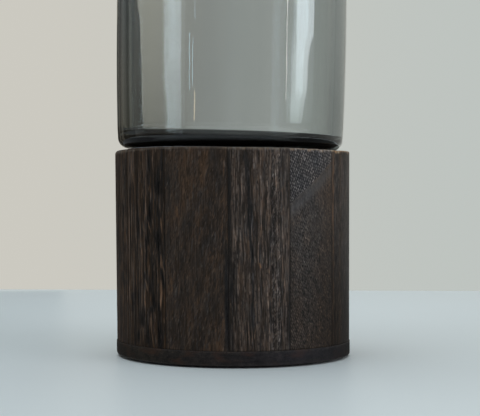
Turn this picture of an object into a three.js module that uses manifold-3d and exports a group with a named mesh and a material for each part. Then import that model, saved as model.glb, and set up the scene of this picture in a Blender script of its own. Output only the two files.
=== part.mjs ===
// Glass vase on a wooden base.
//
// A heavy-walled smoked glass cylinder stands in a socket at the top of a round wooden base.
// The base is coopered: twelve mitred staves glued edge to edge into a hollow ring and turned
// round on the outside, closed underneath by a thin wooden disc and a felt foot. A counterbore
// at the top of the ring holds a seat disc and a soft pad, and the moulded foot of the glass
// drops into it, so that the glass lifts straight out.
//
// Millimetres, +Z up. The origin is at the centre of the underside, on the surface the vase
// stands on. The front is towards -Y. Angles are measured from the front (-Y) towards +X.

import * as THREE from "three";
import { mergeVertices } from "three/addons/utils/BufferGeometryUtils.js";
import Module from "manifold-3d";

// ---- driving dimensions ---------------------------------------------------------------
const LOW_R = 57.4; // outer radius of the turned stave ring at its foot
const TOP_R = 57.95; // and at its top: the ring widens a little going up
const LOW_X = 0.42; // the ring also leans: its middle at the foot
const TOP_X = -0.42; // and at the top
const BASE_TOP = 100.4; // top of the staves, over the middle of the vase
const TOP_SLOPE = 0.0115; // the top is cut a little higher at the front
const FELT_T = 1.0; // felt foot thickness
const FELT_R = 52.5;
const DISC_T = 6.8; // bottom disc thickness
const DISC_R = 57.75; // bottom disc, a hair proud of the staves
const DISC_EDGE = 0.55; // its eased edges
const RING_IN_R = 46.0; // inner corners of the staves, on the glue planes
const GLUE_LINE = 0.1; // width of the line between two staves
const SOCKET_R = 48.9; // counterbore at the top of the ring
const SOCKET_FLOOR = 84.0; // ledge that the counterbore leaves
const SEAT_T = 6.0; // seat disc resting on the ledge
const SEAT_R = 48.2;
const PAD_T = 2.0; // soft pad on the seat disc
const PAD_R = 47.4;

// glue planes between the staves, degrees; the first five are the ones seen from the front
const SEAMS = [-59.8, -32.5, -1.8, 27.4, 54.3];
const STAVES = 12;
const ARC_STEPS = 5; // facets across one stave

const GLASS_STEPS = 64; // facets round the glass
const GLASS_TOP = 300.0;
const GLASS_FLOOR = 106.7; // top of the thick glass bottom
const GLASS_UNDER = 101.35; // underside of the heel, at the middle of the vase
const FOOT_OUT_R = 47.2; // moulded foot ring under the glass
const FOOT_IN_R = 38.0;
const FOOT_CEILING = 98.5; // ceiling of the recess inside the foot ring
const HEEL_R = 5.4; // outer rounding of the heel
const HEEL_TOP_R = 55.62; // wall radius where the heel ends
const HEEL_POWER = 2.06; // 2 would be a circle, more is squarer
const WALL = 5.4; // wall thickness low down
const RIM_R = 56.83; // outer radius at the rim
const RIM_WALL = 4.6; // wall thickness at the rim
const INNER_R = 50.3; // inside radius where the wall meets the corner of the floor
const LEAN = 0.0078; // sideways drift of the lower wall per millimetre of height
const TILT = 0.0095; // slope of the heel, lower on the right
const FLOOR_TILT = 0.006; // further slope of the floor inside
const FOOT_SHIFT = -1.39; // the glass stands this far to the left in its socket

const colours = {
  glass: 0x5d6461,
  wood: 0x2f2823,
  woodDisc: 0x262423,
  seat: 0x6f5a43,
  pad: 0x161617,
  felt: 0x1f1f20,
};

const discLow = FELT_T;
const discHigh = FELT_T + DISC_T;

// ---- helpers --------------------------------------------------------------------------
const wasm = await Module();
wasm.setup();

function solid(geometry) {
  const plain = geometry.clone();
  plain.deleteAttribute("normal");
  plain.deleteAttribute("uv");
  const merged = mergeVertices(plain, 1e-4);
  return new wasm.Manifold(
    new wasm.Mesh({
      numProp: 3,
      vertProperties: new Float32Array(merged.attributes.position.array),
      triVerts: new Uint32Array(merged.index.array),
    }),
  );
}

function geometryOf(made) {
  const mesh = made.getMesh();
  const n = mesh.numProp;
  const points = new Float32Array(mesh.numVert * 3);
  for (let i = 0; i < mesh.numVert; i++)
    points.set(mesh.vertProperties.subarray(i * n, i * n + 3), i * 3);
  const g = new THREE.BufferGeometry();
  g.setAttribute("position", new THREE.BufferAttribute(points, 3));
  g.setIndex(new THREE.BufferAttribute(new Uint32Array(mesh.triVerts), 1));
  g.computeVertexNormals();
  return g;
}

// a profile of [radius, height] pairs turned about +Z
function turned(profile, steps) {
  const g = new THREE.LatheGeometry(
    profile.map(([r, z]) => new THREE.Vector2(r, z)),
    steps,
  );
  g.rotateX(Math.PI / 2);
  return g;
}

// radius and middle of the stave ring at a height
function ringRadius(z) {
  return LOW_R + ((TOP_R - LOW_R) * (z - discHigh)) / (BASE_TOP - discHigh);
}

function ringX(z) {
  return LOW_X + ((TOP_X - LOW_X) * (z - discHigh)) / (BASE_TOP - discHigh);
}

function at(radius, degrees) {
  const t = THREE.MathUtils.degToRad(degrees);
  return new THREE.Vector2(radius * Math.sin(t), -radius * Math.cos(t));
}

const vase = new THREE.Group();

function add(name, geometry, colour, roughness, metalness, extra = {}) {
  const mesh = new THREE.Mesh(
    geometry,
    new THREE.MeshStandardMaterial({
      color: colour,
      roughness,
      metalness,
      ...extra,
    }),
  );
  mesh.name = name;
  vase.add(mesh);
  return mesh;
}

// ---- wooden base ----------------------------------------------------------------------
add(
  "felt_foot",
  turned(
    [
      [0, 0],
      [FELT_R, 0],
      [FELT_R, FELT_T],
      [0, FELT_T],
    ],
    72,
  ).translate(LOW_X, 0, 0),
  colours.felt,
  0.95,
  0,
);

add(
  "bottom_disc",
  turned(
    [
      [0, discLow],
      [DISC_R - DISC_EDGE, discLow],
      [DISC_R, discLow + DISC_EDGE],
      [DISC_R, discHigh - DISC_EDGE],
      [DISC_R - DISC_EDGE, discHigh],
      [0, discHigh],
    ],
    96,
  ).translate(LOW_X, 0, 0),
  colours.woodDisc,
  0.6,
  0,
);

// the remaining glue planes share the back of the ring evenly
const planes = [...SEAMS];
const rest = 360 - (SEAMS[SEAMS.length - 1] - SEAMS[0]);
const restCount = STAVES - (SEAMS.length - 1);
for (let i = 1; i < restCount; i++)
  planes.push(SEAMS[SEAMS.length - 1] + (rest * i) / restCount);
planes.push(SEAMS[0] + 360);

const ABOVE = 104; // the blanks and the cutters run past the top
const socketCutter = new THREE.CylinderGeometry(
  SOCKET_R,
  SOCKET_R,
  ABOVE - SOCKET_FLOOR,
  72,
);
socketCutter.rotateX(Math.PI / 2);
socketCutter.translate(TOP_X, 0, (ABOVE + SOCKET_FLOOR) / 2);
const socket = solid(socketCutter);

// everything above the sloping top
const topCutter = new THREE.BoxGeometry(160, 160, 20);
topCutter.translate(0, 0, 10);
topCutter.rotateX(-Math.atan(TOP_SLOPE));
topCutter.translate(0, 0, BASE_TOP);
const offTop = solid(topCutter);

for (let i = 0; i < STAVES; i++) {
  // half a glue line is left off each side, square to the glue plane
  const inset = (r) => THREE.MathUtils.radToDeg(Math.asin(GLUE_LINE / 2 / r));
  const a = planes[i] + inset(LOW_R);
  const b = planes[i + 1] - inset(LOW_R);
  const outline = [at(RING_IN_R, planes[i] + inset(RING_IN_R))];
  for (let k = 0; k <= ARC_STEPS; k++)
    outline.push(at(LOW_R, a + ((b - a) * k) / ARC_STEPS));
  outline.push(at(RING_IN_R, planes[i + 1] - inset(RING_IN_R)));
  const blank = new THREE.ExtrudeGeometry(new THREE.Shape(outline), {
    depth: ABOVE - 1 - discHigh,
    bevelEnabled: false,
  });
  blank.translate(0, 0, discHigh);
  // taper and lean
  const p = blank.attributes.position;
  for (let k = 0; k < p.count; k++) {
    const z = p.getZ(k);
    const scale = ringRadius(z) / LOW_R;
    p.setX(k, p.getX(k) * scale + ringX(z));
    p.setY(k, p.getY(k) * scale);
  }
  const stave = solid(blank).subtract(socket).subtract(offTop);
  add(
    "stave_" + String(i + 1).padStart(2, "0"),
    geometryOf(stave),
    colours.wood,
    0.55,
    0,
    { flatShading: true },
  );
}

add(
  "seat_disc",
  turned(
    [
      [0, SOCKET_FLOOR],
      [SEAT_R, SOCKET_FLOOR],
      [SEAT_R, SOCKET_FLOOR + SEAT_T],
      [0, SOCKET_FLOOR + SEAT_T],
    ],
    72,
  ).translate(TOP_X, 0, 0),
  colours.seat,
  0.7,
  0,
);

const padLow = SOCKET_FLOOR + SEAT_T;
const padHigh = padLow + PAD_T;
add(
  "seat_pad",
  turned(
    [
      [0, padLow],
      [PAD_R, padLow],
      [PAD_R, padHigh],
      [0, padHigh],
    ],
    72,
  ).translate(TOP_X, 0, 0),
  colours.pad,
  0.9,
  0,
);

// ---- glass ----------------------------------------------------------------------------
// outer radius of the wall over its height: it draws in a little towards the heel
const WALL_LINE = [
  [111.0, 55.93],
  [118.9, 56.15],
  [126.8, 56.37],
  [134.7, 56.53],
  [142.6, 56.66],
  [154.4, 56.78],
  [174.0, 56.83],
  [200.0, 56.83],
  [230.0, 56.83],
  [265.0, 56.83],
];

function smooth(x, a, b) {
  const t = Math.min(1, Math.max(0, (x - a) / (b - a)));
  return t * t * (3 - 2 * t);
}

// the lower wall of this blown glass drifts sideways by half a millimetre and then runs upright
function drift(z) {
  const start = 107.7;
  const end = 178;
  const blend = 22;
  if (z <= start) return FOOT_SHIFT;
  const straight = (Math.min(z, end + blend) - start) * LEAN;
  const over = Math.max(0, Math.min(z, end + blend) - (end - blend));
  return FOOT_SHIFT + straight - (LEAN * over * over) / (4 * blend);
}

// the heel and floor slope a little, and the rim is level
function slope(z) {
  return TILT * (1 - smooth(z, 112, 190));
}

// [radius, height, how far the ring takes part in the slope, CORNER or FLOOR inside]
const profile = [];
const CORNER = 1;
const FLOOR = 2;

function round(cr, cz, radius, from, to, steps, share) {
  for (let k = 0; k <= steps; k++) {
    const t = THREE.MathUtils.degToRad(from + ((to - from) * k) / steps);
    profile.push([cr + radius * Math.cos(t), cz + radius * Math.sin(t), share, 0]);
  }
}

profile.push([0, FOOT_CEILING, 0, 0]);
round(FOOT_IN_R - 1.8, FOOT_CEILING - 1.8, 1.8, 90, 0, 3, 0);
round(FOOT_IN_R + 1.2, padHigh + 1.2, 1.2, 180, 270, 3, 0);
round(FOOT_OUT_R - 1.2, padHigh + 1.2, 1.2, -90, 0, 3, 0);
profile.push([FOOT_OUT_R, GLASS_UNDER - 0.6, 0, 0]);
profile.push([FOOT_OUT_R + 0.18, GLASS_UNDER - 0.18, 0.5, 0]);
profile.push([FOOT_OUT_R + 0.6, GLASS_UNDER, 1, 0]);
for (let k = 0; k <= 7; k++) {
  const t = (Math.PI / 2) * (k / 7);
  const bulge = 2 / HEEL_POWER;
  profile.push([
    HEEL_TOP_R - HEEL_R + HEEL_R * Math.sin(t) ** bulge,
    GLASS_UNDER + HEEL_R - HEEL_R * Math.max(0, Math.cos(t)) ** bulge,
    1,
    0,
  ]);
}
for (const [z, r] of WALL_LINE) profile.push([r, z, 1, 0]);
profile.push([RIM_R, GLASS_TOP - 3, 1, 0]);
round(RIM_R - RIM_WALL / 2, GLASS_TOP - RIM_WALL / 2, RIM_WALL / 2, 0, 180, 8, 1);
profile.push([RIM_R - RIM_WALL, GLASS_TOP - 3, 1, 0]);
for (const [z, r] of [...WALL_LINE].reverse()) {
  const wall = WALL + (RIM_WALL - WALL) * smooth(z, 150, 290);
  profile.push([r - wall, z, 1, 0]);
}
// the wall slopes in before it turns into the floor
const CORNER_TOP = 2.64; // height of the corner above the floor
const BEND = 1.2; // from the wall into the slope
const TURN_IN = 0.9; // from the slope into the floor
const SLANT = THREE.MathUtils.degToRad(28);
const SLANT_RISE = 1.6;
for (let k = 0; k <= 2; k++) {
  const t = (SLANT * k) / 2;
  profile.push([
    INNER_R - BEND * (1 - Math.cos(t)),
    GLASS_FLOOR + CORNER_TOP - BEND * Math.sin(t),
    1,
    CORNER,
  ]);
}
{
  const [r0, z0] = profile[profile.length - 1];
  const r1 = r0 - SLANT_RISE * Math.tan(SLANT);
  const z1 = z0 - SLANT_RISE;
  for (let k = 0; k <= 4; k++) {
    const t = SLANT + ((Math.PI / 2 - SLANT) * k) / 4;
    profile.push([
      r1 - TURN_IN * (Math.cos(SLANT) - Math.cos(t)),
      z1 - TURN_IN * (Math.sin(t) - Math.sin(SLANT)),
      1,
      CORNER,
    ]);
  }
}
profile.push([0, GLASS_FLOOR, 1, FLOOR]);

const glass = turned(
  profile.map(([r, z]) => [r, z]),
  GLASS_STEPS,
);
{
  const p = glass.attributes.position;
  const rings = profile.length;
  for (let i = 0; i < p.count; i++) {
    const [r, , share, where] = profile[i % rings];
    let x = p.getX(i);
    let y = p.getY(i);
    let z = p.getZ(i);
    if (where === CORNER) {
      // the corner is fuller at the left than at the right
      const full = 1.04 - (0.2 * x) / 50;
      z = GLASS_FLOOR + (z - GLASS_FLOOR) * full;
      const scale = (INNER_R - (INNER_R - r) * full) / r;
      x *= scale;
      y *= scale;
    }
    const extra = where === 0 ? 0 : FLOOR_TILT;
    p.setX(i, x + drift(z));
    p.setY(i, y);
    p.setZ(i, z - x * (slope(z) * share + extra));
  }
  glass.computeVertexNormals();
}
add("glass_vessel", glass, colours.glass, 0.03, 0, {
  transparent: true,
  opacity: 0.45,
  side: THREE.DoubleSide,
});

export default vase;
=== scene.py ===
import math

import bmesh
import bpy
import numpy as np
from mathutils import Matrix, Vector


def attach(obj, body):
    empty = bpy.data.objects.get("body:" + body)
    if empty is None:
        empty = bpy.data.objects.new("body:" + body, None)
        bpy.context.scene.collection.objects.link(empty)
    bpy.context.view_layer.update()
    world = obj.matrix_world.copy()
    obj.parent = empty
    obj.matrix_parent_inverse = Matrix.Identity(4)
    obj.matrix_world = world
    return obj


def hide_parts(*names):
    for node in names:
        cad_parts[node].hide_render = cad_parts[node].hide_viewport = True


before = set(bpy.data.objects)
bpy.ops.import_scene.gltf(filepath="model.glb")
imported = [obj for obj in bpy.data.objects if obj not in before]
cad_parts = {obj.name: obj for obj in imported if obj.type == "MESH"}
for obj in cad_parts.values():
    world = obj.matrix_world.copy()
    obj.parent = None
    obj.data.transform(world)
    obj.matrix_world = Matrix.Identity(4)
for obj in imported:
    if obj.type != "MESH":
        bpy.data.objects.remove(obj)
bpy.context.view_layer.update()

MM = 0.001
scene = bpy.context.scene

# ---- sizes in millimetres, the same as the solids' ------------------------------------
LOW_R, TOP_R = 57.4, 57.95
LOW_X, TOP_X = 0.42, -0.42
BASE_TOP, TOP_SLOPE = 100.4, 0.0115
FELT_T, FELT_R = 1.0, 52.5
DISC_T, DISC_R = 6.8, 57.75
DISC_LOW, DISC_HIGH = FELT_T, FELT_T + DISC_T
RING_IN_R = 46.0
SOCKET_R, SOCKET_FLOOR = 48.9, 84.0
SEAT_T, SEAT_R = 6.0, 48.2
PAD_T, PAD_R = 2.0, 47.4
SEAMS = [-59.8, -32.5, -1.8, 27.4, 54.3]
STAVES = 12
GLASS_TOP, GLASS_FLOOR, GLASS_UNDER = 300.0, 106.7, 101.35
FOOT_OUT_R, FOOT_IN_R, FOOT_CEILING = 47.2, 38.0, 98.5
HEEL_R, WALL, RIM_WALL = 5.4, 5.4, 4.6
LEAN, TILT, FOOT_SHIFT = 0.0078, 0.0095, -1.39
PAD_TOP = SOCKET_FLOOR + SEAT_T + PAD_T
BASE_R = 57.7  # middling radius, for distances measured round the ring


def ring_radius(z):
    return LOW_R + (TOP_R - LOW_R) * (z - DISC_HIGH) / (BASE_TOP - DISC_HIGH)


def ring_x(z):
    return LOW_X + (TOP_X - LOW_X) * (z - DISC_HIGH) / (BASE_TOP - DISC_HIGH)


# ---- seeded noise for shapes ----------------------------------------------------------
def chance(i, j, seed):
    n = (i * 374761393 + j * 668265263 + seed * 974634777) & 0xFFFFFFFF
    n = ((n ^ (n >> 13)) * 1274126177) & 0xFFFFFFFF
    n = n ^ (n >> 16)
    return (n & 0xFFFFFF) / float(0xFFFFFF)


def noise(x, y, seed):
    """Smooth value noise in 0..1 over two coordinates."""
    x, y = np.broadcast_arrays(np.asarray(x, float), np.asarray(y, float))
    xi, yi = np.floor(x).astype(np.int64), np.floor(y).astype(np.int64)
    u, v = x - xi, y - yi
    u = u * u * u * (u * (u * 6 - 15) + 10)
    v = v * v * v * (v * (v * 6 - 15) + 10)
    a, b = chance(xi, yi, seed), chance(xi + 1, yi, seed)
    c, d = chance(xi, yi + 1, seed), chance(xi + 1, yi + 1, seed)
    return (a * (1 - u) + b * u) * (1 - v) + (c * (1 - u) + d * u) * v


def cloud(x, y, seed, octaves=3):
    total, weight, size = 0.0, 0.0, 1.0
    for k in range(octaves):
        total = total + noise(x / size, y / size, seed + 17 * k) * size
        weight += size
        size *= 0.5
    return total / weight


def dashes(u, v, across, along, seed):
    """Short strokes along v, one in each cell of a staggered grid, in 0..1."""
    col = np.floor(u / across).astype(np.int64)
    shifted = v / along + 0.5 * (col % 2) + 0.35 * chance(col, 0, seed)
    line = np.floor(shifted).astype(np.int64)
    du = (u / across - col - 0.5 - 0.35 * (chance(col, line, seed + 1) - 0.5)) / 0.30
    dv = (shifted - line - 0.5 - 0.2 * (chance(col, line, seed + 2) - 0.5)) / 0.43
    return np.exp(-(du**2) - dv**4) * (0.55 + 0.45 * chance(col, line, seed + 3))


def step(x, a, b):
    t = np.clip((x - a) / (b - a), 0.0, 1.0)
    return t * t * (3 - 2 * t)


# ---- meshes ---------------------------------------------------------------------------
def finish_mesh(name, verts, faces, smooth=True, sharp=40.0, attributes=None):
    mesh = bpy.data.meshes.new(name)
    mesh.from_pydata([tuple(v) for v in np.asarray(verts) * MM], [], faces)
    mesh.validate()
    for key, values in (attributes or {}).items():
        layer = mesh.attributes.new(key, "FLOAT", "POINT")
        layer.data.foreach_set("value", np.asarray(values, np.float32))
    bm = bmesh.new()
    bm.from_mesh(mesh)
    bmesh.ops.recalc_face_normals(bm, faces=bm.faces)
    limit = math.radians(sharp)
    for face in bm.faces:
        face.smooth = smooth
    for edge in bm.edges:
        if len(edge.link_faces) == 2:
            edge.smooth = edge.calc_face_angle(0.0) < limit
    bm.to_mesh(mesh)
    bm.free()
    ob = bpy.data.objects.new(name, mesh)
    scene.collection.objects.link(ob)
    return ob


def lathe(name, profile, steps, move=None, sharp=40.0, attributes=None, x=0.0):
    """Turns a profile of (radius, height) about an upright axis at x. Points on the axis become one vertex."""
    verts, rings = [], []
    angles = np.linspace(0, 2 * math.pi, steps, endpoint=False)
    for r, z in profile:
        if r < 1e-6:
            rings.append([len(verts)])
            verts.append((0.0, 0.0, z))
        else:
            rings.append(list(range(len(verts), len(verts) + steps)))
            verts.extend(zip(r * np.sin(angles), -r * np.cos(angles), [z] * steps))
    faces = []
    for a, b in zip(rings[:-1], rings[1:]):
        for i in range(steps):
            j = (i + 1) % steps
            if len(a) == 1 and len(b) == 1:
                continue
            if len(a) == 1:
                faces.append((a[0], b[j], b[i]))
            elif len(b) == 1:
                faces.append((a[i], a[j], b[0]))
            else:
                faces.append((a[i], a[j], b[j], b[i]))
    verts = np.array(verts, float)
    if move is not None:
        verts = move(verts)
    verts[:, 0] += x
    return finish_mesh(name, verts, faces, sharp=sharp, attributes=attributes)


def arc(cr, cz, radius, a0, a1, n):
    """Profile points round a corner. Angles in degrees, 0 along +r and 90 along +z."""
    out = []
    for k in range(n + 1):
        t = math.radians(a0 + (a1 - a0) * k / n)
        out.append((cr + radius * math.cos(t), cz + radius * math.sin(t)))
    return out


# ---- materials ------------------------------------------------------------------------
class Nodes:
    """Short hand for building a node tree."""

    def __init__(self, name):
        self.material = bpy.data.materials.new(name)
        self.material.use_nodes = True
        self.tree = self.material.node_tree
        self.tree.nodes.clear()
        self.out = self.add("ShaderNodeOutputMaterial")

    def add(self, kind, **values):
        node = self.tree.nodes.new(kind)
        for key, value in values.items():
            setattr(node, key, value)
        return node

    def link(self, a, b):
        self.tree.links.new(a, b)
        return b

    def put(self, socket, value):
        if isinstance(value, bpy.types.NodeSocket):
            self.link(value, socket)
        elif value is not None:
            socket.default_value = value

    def math(self, op, a, b=None, c=None, clamp=False):
        node = self.add("ShaderNodeMath", operation=op, use_clamp=clamp)
        for socket, value in zip(node.inputs, (a, b, c)):
            self.put(socket, value)
        return node.outputs[0]

    def coords(self):
        return self.add("ShaderNodeTexCoord").outputs["Object"]

    def split(self, vector):
        node = self.add("ShaderNodeSeparateXYZ")
        self.put(node.inputs[0], vector)
        return node.outputs

    def join(self, x, y, z):
        node = self.add("ShaderNodeCombineXYZ")
        for socket, value in zip(node.inputs, (x, y, z)):
            self.put(socket, value)
        return node.outputs[0]

    def noise(self, vector, scale=1.0, detail=2.0, rough=0.5, distortion=0.0):
        node = self.add("ShaderNodeTexNoise")
        self.put(node.inputs["Vector"], vector)
        node.inputs["Scale"].default_value = scale
        node.inputs["Detail"].default_value = detail
        node.inputs["Roughness"].default_value = rough
        node.inputs["Distortion"].default_value = distortion
        return node.outputs["Fac"]

    def voronoi(self, vector, scale=1.0, feature="F1"):
        node = self.add("ShaderNodeTexVoronoi", feature=feature)
        self.put(node.inputs["Vector"], vector)
        node.inputs["Scale"].default_value = scale
        return node.outputs["Distance"]

    def ramp(self, value, stops, smooth=False):
        node = self.add("ShaderNodeValToRGB")
        node.color_ramp.interpolation = "EASE" if smooth else "LINEAR"
        while len(node.color_ramp.elements) < len(stops):
            node.color_ramp.elements.new(0.5)
        for element, (place, colour) in zip(node.color_ramp.elements, stops):
            element.position = place
            element.color = (*colour, 1.0) if len(colour) == 3 else colour
        self.put(node.inputs[0], value)
        return node.outputs[0]

    def remap(self, value, a, b, c, d):
        node = self.add("ShaderNodeMapRange")
        node.clamp = True
        self.put(node.inputs[0], value)
        for socket, number in zip(node.inputs[1:5], (a, b, c, d)):
            socket.default_value = number
        return node.outputs[0]

    def mix(self, factor, a, b, blend="MIX"):
        node = self.add("ShaderNodeMix", data_type="RGBA", blend_type=blend)
        self.put(node.inputs[0], factor)
        for socket, value in ((node.inputs[6], a), (node.inputs[7], b)):
            if isinstance(value, tuple) and len(value) == 3:
                value = (*value, 1.0)
            self.put(socket, value)
        return node.outputs[2]

    def bump(self, height, strength, distance, normal=None):
        node = self.add("ShaderNodeBump")
        node.inputs["Strength"].default_value = strength
        node.inputs["Distance"].default_value = distance
        self.put(node.inputs["Height"], height)
        if normal is not None:
            self.put(node.inputs["Normal"], normal)
        return node.outputs[0]

    def attribute(self, name):
        return self.add("ShaderNodeAttribute", attribute_name=name).outputs["Fac"]

    def principled(self, **values):
        node = self.add("ShaderNodeBsdfPrincipled")
        for key, value in values.items():
            socket = node.inputs[key]
            if isinstance(value, tuple) and len(value) == 3 and socket.type == "RGBA":
                value = (*value, 1.0)
            self.put(socket, value)
        self.link(node.outputs[0], self.out.inputs["Surface"])
        return node


def round_coords(n):
    """(arc length, height, radius) in millimetres as shader values, seam at the back."""
    x, y, z = n.split(n.coords())
    angle = n.math("ARCTAN2", x, n.math("MULTIPLY", y, -1.0))
    radius = n.math("SQRT", n.math("ADD", n.math("MULTIPLY", x, x), n.math("MULTIPLY", y, y)))
    return (
        n.math("MULTIPLY", angle, BASE_R),
        n.math("MULTIPLY", z, 1000.0),
        n.math("MULTIPLY", radius, 1000.0),
    )


NEUTRAL = [(0.0, (0.0052, 0.0042, 0.0040)), (0.3, (0.0294, 0.0229, 0.0196)), (0.6, (0.106, 0.085, 0.075)), (1.0, (0.36, 0.30, 0.265))]
WARM = [(0.0, (0.0064, 0.0040, 0.0028)), (0.3, (0.0385, 0.0240, 0.0152)), (0.6, (0.136, 0.073, 0.041)), (1.0, (0.46, 0.235, 0.115))]
COOL = [(0.0, (0.0036, 0.0037, 0.0043)), (0.3, (0.0212, 0.0204, 0.0222)), (0.6, (0.084, 0.080, 0.087)), (1.0, (0.31, 0.295, 0.32))]


def stave_material(name, seed, fibre=1.0, rough=(0.50, 0.68), shine=0.12, wear=(0.22, 0.155, 0.105), rubbed_and_lit_to=(0.25, 0.225, 0.205)):
    """Turned wood. "tone" (dark to light), "warm" (blue-black to orange), "wear" (rubbing and chips, with a painted
    highlight on the upper edge) and "pale" (a painted highlight line) come with the mesh; fibres, pores and end grain
    are made here."""
    n = Nodes(name)
    s, z, r = round_coords(n)
    seeded = n.math("ADD", s, float(seed * 61))
    # fibres: long and thin along the height on the outside, broken into short lengths
    fine = n.noise(n.join(n.math("MULTIPLY", seeded, 2.1), n.math("MULTIPLY", z, 0.13), r), 1.0, 3.0, 0.6)
    thin = n.noise(n.join(n.math("MULTIPLY", seeded, 3.4), n.math("MULTIPLY", z, 0.6), r), 1.0, 3.0, 0.6)
    slow = n.noise(n.join(n.math("MULTIPLY", seeded, 0.16), n.math("MULTIPLY", z, 0.06), 0.0), 1.0, 3.0, 0.6)
    patch = n.noise(n.join(n.math("MULTIPLY", seeded, 0.35), n.math("MULTIPLY", z, 0.11), 7.0), 1.0, 3.0, 0.6)
    tone = n.attribute("tone")
    tone = n.math("ADD", tone, n.math("MULTIPLY", n.math("SUBTRACT", fine, 0.5), 0.42 * fibre))
    tone = n.math("ADD", tone, n.math("MULTIPLY", n.math("SUBTRACT", thin, 0.5), 0.22 * fibre))
    tone = n.math("ADD", tone, n.math("MULTIPLY", n.math("SUBTRACT", slow, 0.5), 0.10))
    # pores: short dark slits
    slits = n.voronoi(n.join(n.math("MULTIPLY", seeded, 1.9), n.math("MULTIPLY", z, 0.36), r), 1.0)
    slits = n.remap(slits, 0.06, 0.24, 1.0, 0.0)
    warm = n.math("ADD", n.attribute("warm"), n.math("MULTIPLY", n.math("SUBTRACT", patch, 0.5), 1.1))
    side = n.mix(n.math("MULTIPLY", warm, 1.0, clamp=True), n.ramp(tone, NEUTRAL), n.ramp(tone, WARM))
    side = n.mix(n.math("MULTIPLY", warm, -1.0, clamp=True), side, n.ramp(tone, COOL))
    side = n.mix(n.math("MULTIPLY", slits, 0.5), side, (0.0050, 0.0045, 0.0045))
    # end grain on top and underneath: pores as dots, rings as arcs
    geometry = n.add("ShaderNodeNewGeometry")
    up = n.math("ABSOLUTE", n.split(geometry.outputs["True Normal"])[2])
    flat = n.remap(up, 0.82, 0.97, 0.0, 1.0)
    x, y, _ = n.split(n.coords())
    plan = n.join(n.math("MULTIPLY", x, 1000.0), n.math("MULTIPLY", y, 1000.0), float(seed))
    dots = n.remap(n.voronoi(plan, 2.6), 0.12, 0.3, 1.0, 0.0)
    rings = n.noise(n.join(n.math("MULTIPLY", r, 1.3), n.math("MULTIPLY", seeded, 0.06), float(seed)), 1.0, 3.0, 0.6)
    end = n.ramp(rings, [(0.3, (0.018, 0.013, 0.010)), (0.7, (0.050, 0.034, 0.024))])
    end = n.mix(n.math("MULTIPLY", dots, 0.7), end, (0.006, 0.005, 0.004))
    colour = n.mix(flat, side, end)
    # rubbed and chipped arrises, with a painted highlight on the upper edge carried by the same wear attribute and
    # colours
    rubbed_and_lit = n.math("MULTIPLY", n.attribute("wear"), n.remap(n.noise(plan, 0.9, 3.0, 0.6), 0.35, 0.65, 0.35, 1.0), clamp=True)
    colour = n.mix(rubbed_and_lit, colour, n.ramp(n.noise(plan, 0.75, 3.0, 0.6), [(0.40, wear), (0.60, rubbed_and_lit_to)]))
    # painted highlight: the last of the rounding shows a thin pale bluish line, where the edge would mirror the windows
    painted_highlight_line = n.math("MULTIPLY", n.attribute("pale"), n.remap(n.noise(plan, 0.5, 3.0, 0.6), 0.35, 0.6, 0.25, 0.9), clamp=True)
    colour = n.mix(painted_highlight_line, colour, (0.26, 0.275, 0.31))
    height = n.math("SUBTRACT", n.math("ADD", n.math("MULTIPLY", fine, 0.6), n.math("MULTIPLY", thin, 0.3)), n.math("MULTIPLY", slits, 0.5))
    height = n.math("SUBTRACT", height, n.math("MULTIPLY", n.math("MULTIPLY", dots, flat), 0.5))
    roughness = n.remap(n.math("ADD", n.math("MULTIPLY", fine, 0.6), n.math("MULTIPLY", slits, 0.5)), 0.2, 0.9, rough[0], rough[1])
    roughness = n.math("SUBTRACT", roughness, n.math("MULTIPLY", n.attribute("wear"), 0.12))
    n.principled(**{
        "Base Color": colour,
        "Roughness": roughness,
        "Specular IOR Level": shine,
        "Normal": n.bump(height, 0.6, 0.00022),
    })
    return n.material


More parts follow.
